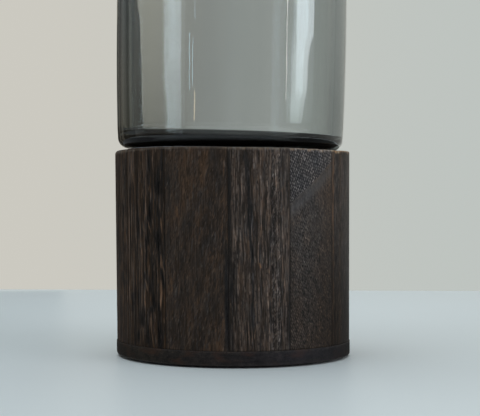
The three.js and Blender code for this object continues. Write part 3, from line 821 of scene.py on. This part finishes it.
def seat_piece():
    low, high, bevel = SOCKET_FLOOR, SOCKET_FLOOR + SEAT_T, 0.5
    rows = [(0.0, low), (20, low), (40, low)]
    rows += arc(SEAT_R - bevel, low + bevel, bevel, -90, 0, 4)
    rows += arc(SEAT_R - bevel, high - bevel, bevel, 0, 90, 4)
    rows += [(40, high), (20, high), (0.0, high)]
    return lathe("seat_board", rows, 160, sharp=50.0, x=TOP_X)


n = Nodes("seat_board")
x, y, z = n.split(n.coords())
vein = n.noise(n.join(n.math("MULTIPLY", x, 30.0), n.math("MULTIPLY", y, 420.0), n.math("MULTIPLY", z, 420.0)), 1.0, 4.0, 0.6, 0.4)
plies = n.add("ShaderNodeTexWave", wave_type="BANDS", bands_direction="Z")
plies.inputs["Scale"].default_value = 105.0
plies.inputs["Distortion"].default_value = 0.6
n.link(n.coords(), plies.inputs["Vector"])
board = n.ramp(vein, [(0.3, (0.055, 0.034, 0.02)), (0.7, (0.13, 0.085, 0.05))])
board = n.mix(n.math("MULTIPLY", plies.outputs["Fac"], 0.35), board, (0.035, 0.022, 0.014))
n.principled(**{"Base Color": board, "Roughness": n.remap(vein, 0.3, 0.7, 0.55, 0.75), "Normal": n.bump(vein, 0.4, 0.0002)})
seat = seat_piece()
seat.data.materials.append(n.material)
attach(seat, "base")
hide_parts("seat_disc")


def pad_piece():
    low, high, soft = SOCKET_FLOOR + SEAT_T, PAD_TOP, 0.5
    rows = [(0.0, low), (20, low), (38, low)]
    rows += arc(PAD_R - soft, low + soft, soft, -90, 0, 4)
    rows += arc(PAD_R - soft, high - soft, soft, 0, 90, 4)
    rows += [(44.0, high), (42.0, high), (30.0, high), (15.0, high), (0.0, high)]
    return lathe("foam_pad", rows, 180, sharp=60.0, x=TOP_X)


n = Nodes("foam_pad")
place = n.coords()
cells = n.voronoi(place, 1900.0)
grain = n.noise(place, 700.0, 3.0, 0.6)
n.principled(**{
    "Base Color": n.ramp(n.math("ADD", n.math("MULTIPLY", cells, 0.5), n.math("MULTIPLY", grain, 0.5)), [(0.2, (0.010, 0.010, 0.011)), (0.8, (0.016, 0.016, 0.0175))]),
    "Roughness": n.remap(grain, 0.3, 0.7, 0.78, 0.95),
    "Specular IOR Level": 0.3,
    "Normal": n.bump(cells, 0.2, 0.0001),
})
pad = pad_piece()
pad.data.materials.append(n.material)
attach(pad, "base")
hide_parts("seat_pad")


def felt_piece():
    rows = [(0.0, 0.0), (25, 0.0), (45, 0.0), (FELT_R - 0.35, 0.0), (FELT_R - 0.1, 0.2), (FELT_R, 0.5), (FELT_R - 0.1, FELT_T)]
    rows += [(45, FELT_T), (25, FELT_T), (0.0, FELT_T)]

    def move(v):
        r = np.hypot(v[:, 0], v[:, 1])
        t = np.degrees(np.arctan2(v[:, 0], -v[:, 1]))
        drop = step(r, 50, 52) * 0.5 * (cloud((t + 400) / 1.1, v[:, 2] + 9.0, 81, 2) - 0.9)
        scale = 1 + drop / np.maximum(r, 1)
        v[:, 0] *= scale
        v[:, 1] *= scale
        return v

    return lathe("felt_sole", rows, 420, move, sharp=70.0, x=LOW_X)


n = Nodes("felt_sole")
place = n.coords()
hair = n.noise(place, 1500.0, 5.0, 0.75, 1.5)
tuft = n.noise(place, 260.0, 3.0, 0.6)
n.principled(**{
    "Base Color": n.ramp(n.math("ADD", n.math("MULTIPLY", hair, 0.65), n.math("MULTIPLY", tuft, 0.35)), [(0.35, (0.004, 0.004, 0.0045)), (0.65, (0.018, 0.018, 0.019))]),
    "Roughness": n.remap(hair, 0.3, 0.7, 0.9, 1.0),
    "Specular IOR Level": 0.15,
    "Sheen Weight": 0.2,
    "Sheen Roughness": 0.6,
    "Normal": n.bump(hair, 0.7, 0.0003),
})
felt = felt_piece()
felt.data.materials.append(n.material)
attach(felt, "base")
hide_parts("felt_foot")


# ---- glass ----------------------------------------------------------------------------
WALL_LINE = np.array([
    (106.75, 55.62), (111.0, 55.93), (118.9, 56.15), (126.8, 56.37), (134.7, 56.53), (142.6, 56.66),
    (154.4, 56.78), (174.0, 56.83), (210.0, 56.83), (255.0, 56.83), (298.0, 56.83),
])
RIM_R, HEEL_TOP_R = 56.83, 55.62


def wall_radius(z):
    return np.interp(z, WALL_LINE[:, 0], WALL_LINE[:, 1])


def drift(z):
    start, end, blend = 107.7, 178.0, 22.0
    straight = (np.clip(z, start, end + blend) - start) * LEAN
    over = np.clip(z, end - blend, end + blend) - (end - blend)
    return np.where(z <= start, FOOT_SHIFT, FOOT_SHIFT + straight - LEAN * over * over / (4 * blend))


def slope(z):
    return TILT * (1 - step(z, 112.0, 190.0))


def corner_line():
    """(distance in from the wall, height above the floor) down the inside corner."""
    out, bend, turn_in, slant = [], 1.2, 0.9, math.radians(28)
    top = 2.64
    for k in range(6):
        t = slant * k / 5
        out.append((bend * (1 - math.cos(t)), top - bend * math.sin(t)))
    r, z = out[-1]
    out.append((r + 0.8 * math.tan(slant), z - 0.8))
    out.append((r + 1.6 * math.tan(slant), z - 1.6))
    r, z = out[-1]
    for k in range(1, 8):
        t = slant + (math.pi / 2 - slant) * k / 7
        out.append((r + turn_in * (math.cos(slant) - math.cos(t)), z - turn_in * (math.sin(t) - math.sin(slant))))
    return out


def glass_profile():
    """(radius, height, share of the slope, ripple in millimetres) from the axis underneath,
    round the outside and back to the axis inside. Share 2 marks the fillet round the floor."""
    out = []
    for r in (0.0, 12.0, 24.0, FOOT_IN_R - 2.2):
        out.append((r, FOOT_CEILING, 0.0, 0.0))
    for r, z in arc(FOOT_IN_R - 1.8, FOOT_CEILING - 1.8, 1.8, 90, 0, 5)[1:]:
        out.append((r, z, 0.0, 0.0))
    for r, z in arc(FOOT_IN_R + 1.2, PAD_TOP + 1.2, 1.2, 180, 270, 5):
        out.append((r, z, 0.0, 0.0))
    out.append(((FOOT_IN_R + FOOT_OUT_R) / 2, PAD_TOP, 0.0, 0.0))
    for r, z in arc(FOOT_OUT_R - 1.2, PAD_TOP + 1.2, 1.2, -90, 0, 5):
        out.append((r, z, 0.0, 0.0))
    for z in (95.0, 97.5, GLASS_UNDER - 0.6):
        out.append((FOOT_OUT_R, z, 0.0, 0.0))
    for k, (r, z) in enumerate(arc(FOOT_OUT_R + 0.6, GLASS_UNDER - 0.6, 0.6, 180, 90, 4)[1:]):
        out.append((r, z, (k + 1) / 4, 0.0))
    for k in range(19):
        # a little squarer than a circle
        t = math.pi / 2 * k / 18
        r = HEEL_TOP_R - HEEL_R + HEEL_R * math.sin(t) ** (2 / 2.06)
        z = GLASS_UNDER + HEEL_R - HEEL_R * math.cos(t) ** (2 / 2.06)
        out.append((r, z, 1.0, 0.3 * (z - GLASS_UNDER) / HEEL_R))
    zs = list(np.arange(108.6, 200, 2.2)) + list(np.arange(200, 296, 6.0))
    for z in zs:
        out.append((float(wall_radius(z)), z, 1.0, 1.0))
    rim = RIM_WALL / 2 - 0.05
    out.append((RIM_R, GLASS_TOP - 3.0, 1.0, 1.0))
    for r, z in arc(RIM_R - RIM_WALL / 2, GLASS_TOP - rim, rim, 0, 180, 14):
        r = RIM_R - RIM_WALL / 2 + (r - RIM_R + RIM_WALL / 2) * (RIM_WALL / 2) / rim
        out.append((r, z, 1.0, 0.5))
    for z in [GLASS_TOP - 3.0] + zs[::-1]:
        if z > 110.0:
            wall = WALL + (RIM_WALL - WALL) * float(step(z, 150, 290))
            out.append((float(wall_radius(z)) - wall, z, 1.0, -1.0))
    # the wall slopes in before it turns into the floor
    inner_r = 55.7 - WALL
    for r, z in corner_line():
        out.append((inner_r - r, GLASS_FLOOR + z, 2.0, -0.3))
    for r in (40.0, 30.0, 20.0, 10.0, 0.0):
        out.append((r, GLASS_FLOOR, 1.0, 0.0))
    return out


glass_rows = glass_profile()
GLASS_STEPS = 256


def shape_glass(v):
    share, ripple = [], []
    for r, z, part, wave in glass_rows:
        n_here = 1 if r < 1e-6 else GLASS_STEPS
        share += [part] * n_here
        ripple += [wave] * n_here
    share, ripple = np.array(share), np.array(ripple)
    # the corner round the floor is fuller at the left than at the right, and the floor slopes more than the heel
    x0, r = v[:, 0].copy(), np.hypot(v[:, 0], v[:, 1])
    full = 1.04 - 0.20 * x0 / 50.0
    inside = share > 1.5
    within = inside | ((np.abs(v[:, 2] - GLASS_FLOOR) < 1e-6) & (share > 0.5))
    lift, pull = v[:, 2] - GLASS_FLOOR, (55.7 - WALL) - r
    v[:, 2] = np.where(inside, GLASS_FLOOR + lift * full, v[:, 2])
    scale = np.where(inside, ((55.7 - WALL) - pull * full) / np.maximum(r, 1), 1.0)
    v[:, 0] *= scale
    v[:, 1] *= scale
    share = np.minimum(share, 1.0)
    x0, z0 = v[:, 0].copy(), v[:, 2].copy()
    r = np.hypot(v[:, 0], v[:, 1])
    t = np.arctan2(v[:, 0], -v[:, 1])
    # blown glass isn't quite round: long shallow waves that run up the wall
    outer = 0.035 * np.sin(5 * t + 0.6 + z0 / 160) + 0.022 * np.sin(11 * t + 2.1 - z0 / 210) + 0.011 * np.sin(23 * t + 0.4 + z0 / 120)
    inner = 0.05 * np.sin(4 * t + 2.6 - z0 / 150) + 0.03 * np.sin(9 * t + 1.0 + z0 / 170) + 0.016 * np.sin(19 * t + 3.0 - z0 / 90)
    wave = np.where(ripple > 0, outer * ripple, -inner * ripple)
    scale = 1 + wave / np.maximum(r, 1)
    v[:, 0] *= scale
    v[:, 1] *= scale
    v[:, 0] += drift(z0)
    v[:, 2] = z0 - x0 * slope(z0) * share - np.where(within, 0.006 * x0, 0.0)
    return v


glass = lathe("blown_glass", [(r, z) for r, z, _, _ in glass_rows], GLASS_STEPS, shape_glass, sharp=75.0)
n = Nodes("smoked_glass")
place = n.coords()
x, y, z = n.split(place)
smear = n.noise(n.join(n.math("MULTIPLY", x, 40.0), n.math("MULTIPLY", y, 40.0), n.math("MULTIPLY", z, 9.0)), 1.0, 4.0, 0.65, 0.6)
specks = n.remap(n.voronoi(place, 420.0), 0.02, 0.07, 1.0, 0.0)
cords = n.noise(n.join(n.math("MULTIPLY", x, 130.0), n.math("MULTIPLY", y, 130.0), n.math("MULTIPLY", z, 3.0)), 1.0, 2.0, 0.5)
roughness = n.math("ADD", n.remap(smear, 0.45, 0.75, 0.0, 0.035), n.math("MULTIPLY", specks, 0.05))
n.principled(**{
    "Base Color": (1.0, 1.0, 1.0),
    "Roughness": roughness,
    "IOR": 1.5,
    "Transmission Weight": 1.0,
    "Normal": n.bump(cords, 0.10, 0.0004),
})
absorb = n.add("ShaderNodeVolumeAbsorption")
absorb.inputs["Color"].default_value = (0.26, 0.335, 0.335, 1.0)
absorb.inputs["Density"].default_value = 95.0
n.link(absorb.outputs[0], n.out.inputs["Volume"])
glass.data.materials.append(n.material)
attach(glass, "vessel")
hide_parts("glass_vessel")


# ---- stage ----------------------------------------------------------------------------
def table():
    back, side, front, deep = 0.442, 1.6, -1.8, 0.03
    verts = [(-side, front, 0), (side, front, 0), (side, back, 0), (-side, back, 0)]
    verts += [(x, y, -deep) for x, y, _ in verts]
    faces = [(0, 1, 2, 3), (7, 6, 5, 4), (0, 4, 5, 1), (1, 5, 6, 2), (2, 6, 7, 3), (3, 7, 4, 0)]
    mesh = bpy.data.meshes.new("table")
    mesh.from_pydata(verts, [], faces)
    ob = bpy.data.objects.new("table", mesh)
    scene.collection.objects.link(ob)
    return ob


n = Nodes("table_top")
place = n.coords()
cloudy = n.noise(place, 3.0, 3.0, 0.5)
n.principled(**{
    "Base Color": n.ramp(cloudy, [(0.3, (0.79, 0.845, 0.868)), (0.7, (0.82, 0.872, 0.89))]),
    "Roughness": 0.4,
    "Specular IOR Level": 0.35,
})
top = table()
top.data.materials.append(n.material)


def panel(name, corners, colour, diffuse=True):
    """A glowing or dark sheet beside the set, which the camera doesn't see itself. colour is a
    function that gives the emitted colour from the sheet's nodes."""
    mesh = bpy.data.meshes.new(name)
    mesh.from_pydata(corners, [], [tuple(range(len(corners)))])
    ob = bpy.data.objects.new(name, mesh)
    scene.collection.objects.link(ob)
    n = Nodes(name)
    glow = n.add("ShaderNodeEmission")
    n.put(glow.inputs["Color"], colour(n))
    n.link(glow.outputs[0], n.out.inputs["Surface"])
    mesh.materials.append(n.material)
    ob.visible_camera = False
    ob.visible_shadow = False
    ob.visible_diffuse = diffuse
    return ob


def dark_side(n):
    """What the left edge of the glass bends into view: a dark doorway with paler upright bars."""
    x, y, z = n.split(n.coords())
    bars = n.ramp(n.remap(x, -0.60, -0.20, 0.0, 1.0), [(p, (v, v, v)) for p, v in (
        (0.0, 0.12), (0.20, 0.12), (0.2425, 0.085), (0.30, 0.08), (0.37, 0.09), (0.425, 0.13), (0.50, 0.25), (0.5625, 0.24),
        (0.625, 0.12), (0.675, 0.07), (0.705, 0.055), (0.75, 0.14), (0.80, 0.28), (0.8375, 0.10), (0.875, 0.05), (1.0, 0.05),
    )])
    tint = n.ramp(n.remap(z, 0.12, 0.32, 0.0, 1.0), [
        (0.0, (0.82, 0.76, 0.62)), (0.3, (1.02, 0.96, 0.84)), (0.55, (1.0, 1.0, 0.94)), (1.0, (1.08, 1.16, 1.22)),
    ])
    return n.mix(1.0, bars, tint, "MULTIPLY")


DOOR = [(-0.95, 0.30, 0.002), (-0.142, 0.44, 0.002), (-0.142, 0.44, 0.137), (-0.146, 0.44, 0.147), (-0.146, 0.44, 0.19), (-0.159, 0.44, 0.214), (-0.173, 0.44, 0.234), (-0.176, 0.44, 0.9), (-0.95, 0.30, 0.9)]
DOOR = [(x, 0.30 + (x + 0.95) / 0.85 * 0.14, z) for x, _, z in DOOR]
panel("dark_flag", DOOR, dark_side, False)


def table_shade(name, z, left, right, mirrored):
    """Shade on the table round the vase's foot and off to its sides, fading outwards. It only
    shows through the thick corner of the glass, or mirrored in it."""
    mesh = bpy.data.meshes.new(name)
    mesh.from_pydata([(-0.65, -0.32, z), (0.75, -0.32, z), (0.75, 0.56, z), (-0.65, 0.56, z)], [], [(0, 1, 2, 3)])
    ob = bpy.data.objects.new(name, mesh)
    scene.collection.objects.link(ob)
    n = Nodes(name)
    x, y, _ = n.split(n.coords())
    radius = n.math("SQRT", n.math("ADD", n.math("MULTIPLY", x, x), n.math("MULTIPLY", y, y)))
    glow = n.add("ShaderNodeEmission")
    n.put(glow.inputs["Color"], n.ramp(n.remap(x, -0.1, 0.1, 0.0, 1.0), [(0.0, left), (0.4, left), (0.6, right), (1.0, right)]))
    clear = n.add("ShaderNodeBsdfTransparent")
    both = n.add("ShaderNodeMixShader")
    off_x = n.math("DIVIDE", n.math("ADD", x, 0.30), 0.25)
    off_y = n.math("DIVIDE", n.math("SUBTRACT", y, 0.21), 0.26)
    off = n.math("SQRT", n.math("ADD", n.math("MULTIPLY", off_x, off_x), n.math("MULTIPLY", off_y, off_y)))
    shape = n.math("MAXIMUM", n.remap(radius, 0.14, 0.28, 1.0, 0.0), n.remap(off, 0.95, 1.3, 1.0, 0.0))
    if mirrored:
        off_x = n.math("DIVIDE", n.math("SUBTRACT", x, 0.38), 0.24)
        off_y = n.math("DIVIDE", n.math("SUBTRACT", y, 0.06), 0.24)
        off = n.math("SQRT", n.math("ADD", n.math("MULTIPLY", off_x, off_x), n.math("MULTIPLY", off_y, off_y)))
        shape = n.math("MAXIMUM", shape, n.remap(off, 0.95, 1.3, 1.0, 0.0))
    # one-sided, so that the table under it still mirrors the vase
    under = n.add("ShaderNodeNewGeometry").outputs["Backfacing"]
    n.put(both.inputs[0], n.math("MULTIPLY", shape, n.math("SUBTRACT", 1.0, under)))
    n.link(clear.outputs[0], both.inputs[1])
    n.link(glow.outputs[0], both.inputs[2])
    n.link(both.outputs[0], n.out.inputs["Surface"])
    mesh.materials.append(n.material)
    ob.visible_camera = ob.visible_shadow = ob.visible_diffuse = False
    ob.visible_glossy, ob.visible_transmission = mirrored, not mirrored


table_shade("table_shade_through", 0.0015, (0.07, 0.075, 0.08), (0.06, 0.06, 0.055), False)
table_shade("table_shade_mirrored", 0.0018, (0.14, 0.15, 0.16), (0.12, 0.13, 0.13), True)


def area(name, place, target, size, power, colour):
    light = bpy.data.lights.new(name, "AREA")
    light.shape = "RECTANGLE"
    light.size, light.size_y = size
    light.energy = power
    light.color = colour
    ob = bpy.data.objects.new(name, light)
    scene.collection.objects.link(ob)
    ob.location = place
    ob.rotation_euler = (Vector(target) - Vector(place)).to_track_quat("-Z", "Y").to_euler()
    ob.visible_camera = False
    ob.visible_transmission = False
    return ob


def around(degrees, distance, height):
    t = math.radians(degrees)
    return (distance * math.sin(t), -distance * math.cos(t), height)


def bearing(n):
    """Direction of a point from the vase in degrees from the front, as a shader value."""
    x, y, _ = n.split(n.coords())
    return n.math("DEGREES", n.math("ARCTAN2", x, n.math("MULTIPLY", y, -1.0)))


def shade(n, colour, *amounts):
    for amount in amounts:
        colour = n.mix(1.0, colour, n.join(amount, amount, amount), "MULTIPLY")
    return colour


def window_glow(n):
    """Bright panes, a dimmer one before them, and a faint glow past their far edge."""
    height = n.split(n.coords())[2]
    turn = bearing(n)
    glow = n.ramp(n.remap(height, 0.08, 0.40, 0.0, 1.0), [
        (0.0, (0.4, 0.5, 0.52)), (0.06, (1.15, 1.4, 1.42)), (0.18, (2.9, 3.4, 3.5)), (0.30, (4.0, 4.6, 4.8)), (0.375, (4.9, 5.6, 5.8)), (0.625, (5.6, 6.3, 6.7)), (1.0, (5.5, 6.2, 6.7)),
    ])
    dim = n.ramp(n.remap(height, 0.10, 0.40, 0.0, 1.0), [(p, (v, v, v)) for p, v in ((0.0, 1.0), (0.13, 1.0), (0.33, 0.5), (0.6, 0.39), (0.86, 0.14), (1.0, 0.08))])
    into = n.remap(turn, 65.6, 67.0, 0.0, 1.0)
    before = n.math("ADD", n.math("MULTIPLY", dim, n.math("SUBTRACT", 1.0, into)), into)
    far = n.ramp(n.remap(height, 0.08, 0.40, 0.0, 1.0), [(p, (v, v, v)) for p, v in (
        (0.0, 0.745), (0.125, 0.755), (0.27, 0.784), (0.375, 0.802), (0.625, 0.809), (0.72, 0.825), (0.83, 0.872), (1.0, 0.876),
    )])
    past = n.remap(n.math("SUBTRACT", turn, n.math("MULTIPLY", far, 100.0)), -0.8, 0.8, 1.0, 0.15)
    return shade(n, glow, before, past)


def far_window_glow(n):
    height = n.split(n.coords())[2]
    glow = n.ramp(n.remap(height, 0.06, 0.46, 0.0, 1.0), [
        (0.0, (0.1, 0.1, 0.1)), (0.06, (0.2, 0.24, 0.28)), (0.10, (0.3, 0.36, 0.42)), (0.175, (0.53, 0.63, 0.72)), (0.35, (0.62, 0.73, 0.84)), (0.55, (0.9, 1.05, 1.25)), (1.0, (1.1, 1.35, 1.6)),
    ])
    # its far edge leans away from the vase going up
    edge = n.remap(height, 0.10, 0.36, 8.0, 0.5)
    into = n.math("SUBTRACT", n.math("ADD", bearing(n), 64.5), edge)
    return shade(n, glow, n.remap(into, 0.0, 2.5, 0.25, 1.0))


panel("window_right", [around(60.2, 2.0, 1.0), around(60.2, 2.0, 0.08), around(88.0, 2.0, 0.08), around(88.0, 2.0, 0.33), around(87.4, 2.0, 0.36), around(87.6, 2.0, 1.0)], window_glow, False)
panel("window_left", [around(-64.5, 2.2, 1.0), around(-64.5, 2.2, 0.06), around(-49.5, 2.2, 0.06), around(-49.5, 2.2, 1.0)], far_window_glow)
fill = area("fill_right", around(62, 2.0, 0.8), (0, 0, 0.1), (1.4, 1.2), 10.5, (0.96, 0.98, 1.0))
fill.visible_glossy = False
area("strip_white", around(54.5, 2.0, 0.5), (0, 0, 0.3), (0.018, 0.7), 0.55, (1.0, 0.97, 0.93))
area("strip_blue_a", around(-40.6, 2.0, 0.28), (0, 0, 0.2), (0.02, 0.16), 0.10, (0.5, 0.82, 1.0))
area("strip_blue_b", around(-37.5, 2.0, 0.28), (0, 0, 0.2), (0.02, 0.13), 0.08, (0.5, 0.82, 1.0))
area("strip_blue_c", around(-35.2, 2.0, 0.56), (0, 0, 0.3), (0.02, 0.3), 0.07, (0.6, 0.86, 1.0))
area("strip_warm", around(-35, 2.0, 0.15), (0, 0, 0.12), (0.03, 0.08), 0.07, (1.0, 0.80, 0.50))
area("overhead", (-0.25, -0.05, 1.6), (-0.1, -0.05, 0), (1.7, 1.6), 13.0, (0.76, 0.905, 1.0))

world = bpy.data.worlds.new("room")
scene.world = world
world.use_nodes = True
tree = world.node_tree
tree.nodes.clear()


def wnode(kind, **values):
    node = tree.nodes.new(kind)
    for key, value in values.items():
        setattr(node, key, value)
    return node


direction = wnode("ShaderNodeTexCoord").outputs["Generated"]
xyz = wnode("ShaderNodeSeparateXYZ")
tree.links.new(direction, xyz.inputs[0])


def wramp(value, low, high, stops):
    span = wnode("ShaderNodeMapRange")
    span.clamp = True
    tree.links.new(value, span.inputs[0])
    span.inputs[1].default_value, span.inputs[2].default_value = low, high
    ramp = wnode("ShaderNodeValToRGB")
    ramp.color_ramp.interpolation = "EASE"
    while len(ramp.color_ramp.elements) < len(stops):
        ramp.color_ramp.elements.new(0.5)
    for element, (place, colour) in zip(ramp.color_ramp.elements, stops):
        element.position = place
        element.color = (*colour, 1.0)
    tree.links.new(span.outputs[0], ramp.inputs[0])
    return ramp.outputs[0]


# what the camera sees: a pale plain wall, a shade warmer at the left
wall = wramp(xyz.outputs[0], -0.17, 0.19, [(0.0, (0.60, 0.585, 0.53)), (1.0, (0.515, 0.55, 0.525))])
# what lights the set: pale behind and above, dimmer on the camera's side
light_y = wramp(xyz.outputs[1], -1.0, 1.0, [(0.0, (0.29, 0.30, 0.31)), (0.45, (0.33, 0.34, 0.345)), (0.72, (0.53, 0.545, 0.52)), (1.0, (0.57, 0.575, 0.54))])
path = wnode("ShaderNodeLightPath")
choose = wnode("ShaderNodeMix", data_type="RGBA")
tree.links.new(path.outputs["Is Camera Ray"], choose.inputs[0])
across = wramp(xyz.outputs[0], -1.0, 1.0, [
    (0.0, (0.92, 0.85, 0.78)), (0.41, (1.12, 1.05, 0.96)), (0.44, (1.08, 1.02, 0.95)), (0.478, (0.88, 0.88, 0.88)), (0.505, (0.97, 0.98, 0.98)), (0.53, (1.10, 1.10, 1.10)),
    (0.56, (1.08, 1.10, 1.09)), (0.60, (0.98, 1.00, 0.98)), (0.68, (0.95, 0.96, 0.95)), (0.775, (0.82, 0.83, 0.82)), (1.0, (0.88, 0.88, 0.88)),
])
low_left = wramp(xyz.outputs[2], 0.04, 0.14, [(p, (v, v, v)) for p, v in ((0.0, 0.58), (0.12, 0.66), (0.25, 0.73), (0.42, 0.81), (0.6, 0.88), (0.78, 0.93), (1.0, 1.0))])
sides = wramp(xyz.outputs[0], -0.16, 0.40, [(0.0, (1.0, 1.0, 1.0)), (0.09, (1.0, 1.0, 1.0)), (0.2, (0.0, 0.0, 0.0)), (0.78, (0.0, 0.0, 0.0)), (1.0, (0.5, 0.5, 0.5))])


def wmix(kind, factor, a, b):
    node = wnode("ShaderNodeMix", data_type="RGBA", blend_type=kind)
    for socket, value in ((node.inputs[0], factor), (node.inputs[6], a), (node.inputs[7], b)):
        if isinstance(value, bpy.types.NodeSocket):
            tree.links.new(value, socket)
        else:
            socket.default_value = value
    return node.outputs[2]


# a dark strip low down behind, which the fillet round the glass's floor brings into view
strip = wramp(xyz.outputs[2], 0.0, 0.5, [(p, (v, v, v)) for p, v in ((0.0, 1.0), (0.27, 1.0), (0.34, 0.22), (0.60, 0.22), (0.68, 1.25), (0.85, 1.15), (1.0, 1.0))])
behind = wramp(xyz.outputs[1], 0.0, 0.5, [(0.0, (0.0, 0.0, 0.0)), (1.0, (1.0, 1.0, 1.0))])
room = wmix("MULTIPLY", 1.0, light_y, across)
room = wmix("MULTIPLY", 1.0, room, wmix("MIX", sides, (1.0, 1.0, 1.0, 1.0), low_left))
room = wmix("MULTIPLY", 1.0, room, wmix("MIX", behind, (1.0, 1.0, 1.0, 1.0), strip))
tree.links.new(room, choose.inputs[6])
tree.links.new(wall, choose.inputs[7])
background = wnode("ShaderNodeBackground")
tree.links.new(choose.outputs[2], background.inputs[0])
background.inputs[1].default_value = 1.0
world_out = wnode("ShaderNodeOutputWorld")
tree.links.new(background.outputs[0], world_out.inputs[0])

scene.view_settings.view_transform = "Standard"
scene.view_settings.look = "None"
scene.view_settings.exposure = 0.0
scene.view_settings.gamma = 1.0

# ---- camera ---------------------------------------------------------------------------
camera_data = bpy.data.cameras.new("camera")
camera_data.sensor_fit = "HORIZONTAL"
camera_data.sensor_width = 36.0
camera_data.lens = 101.06
camera_data.clip_start, camera_data.clip_end = 0.02, 50.0
camera = bpy.data.objects.new("camera", camera_data)
scene.collection.objects.link(camera)
pitch, roll = math.radians(0.61), math.radians(0.201)
right = Vector((1, 0, 0))
ahead = Vector((0, math.cos(pitch), -math.sin(pitch)))
above = Vector((0, math.sin(pitch), math.cos(pitch)))
right2 = math.cos(roll) * right + math.sin(roll) * above
above2 = -math.sin(roll) * right + math.cos(roll) * above
turn = Matrix((right2, above2, -ahead)).transposed().to_4x4()
camera.matrix_world = Matrix.Translation(Vector((3.507, -669.6, 79.67)) * MM) @ turn
scene.camera = camera
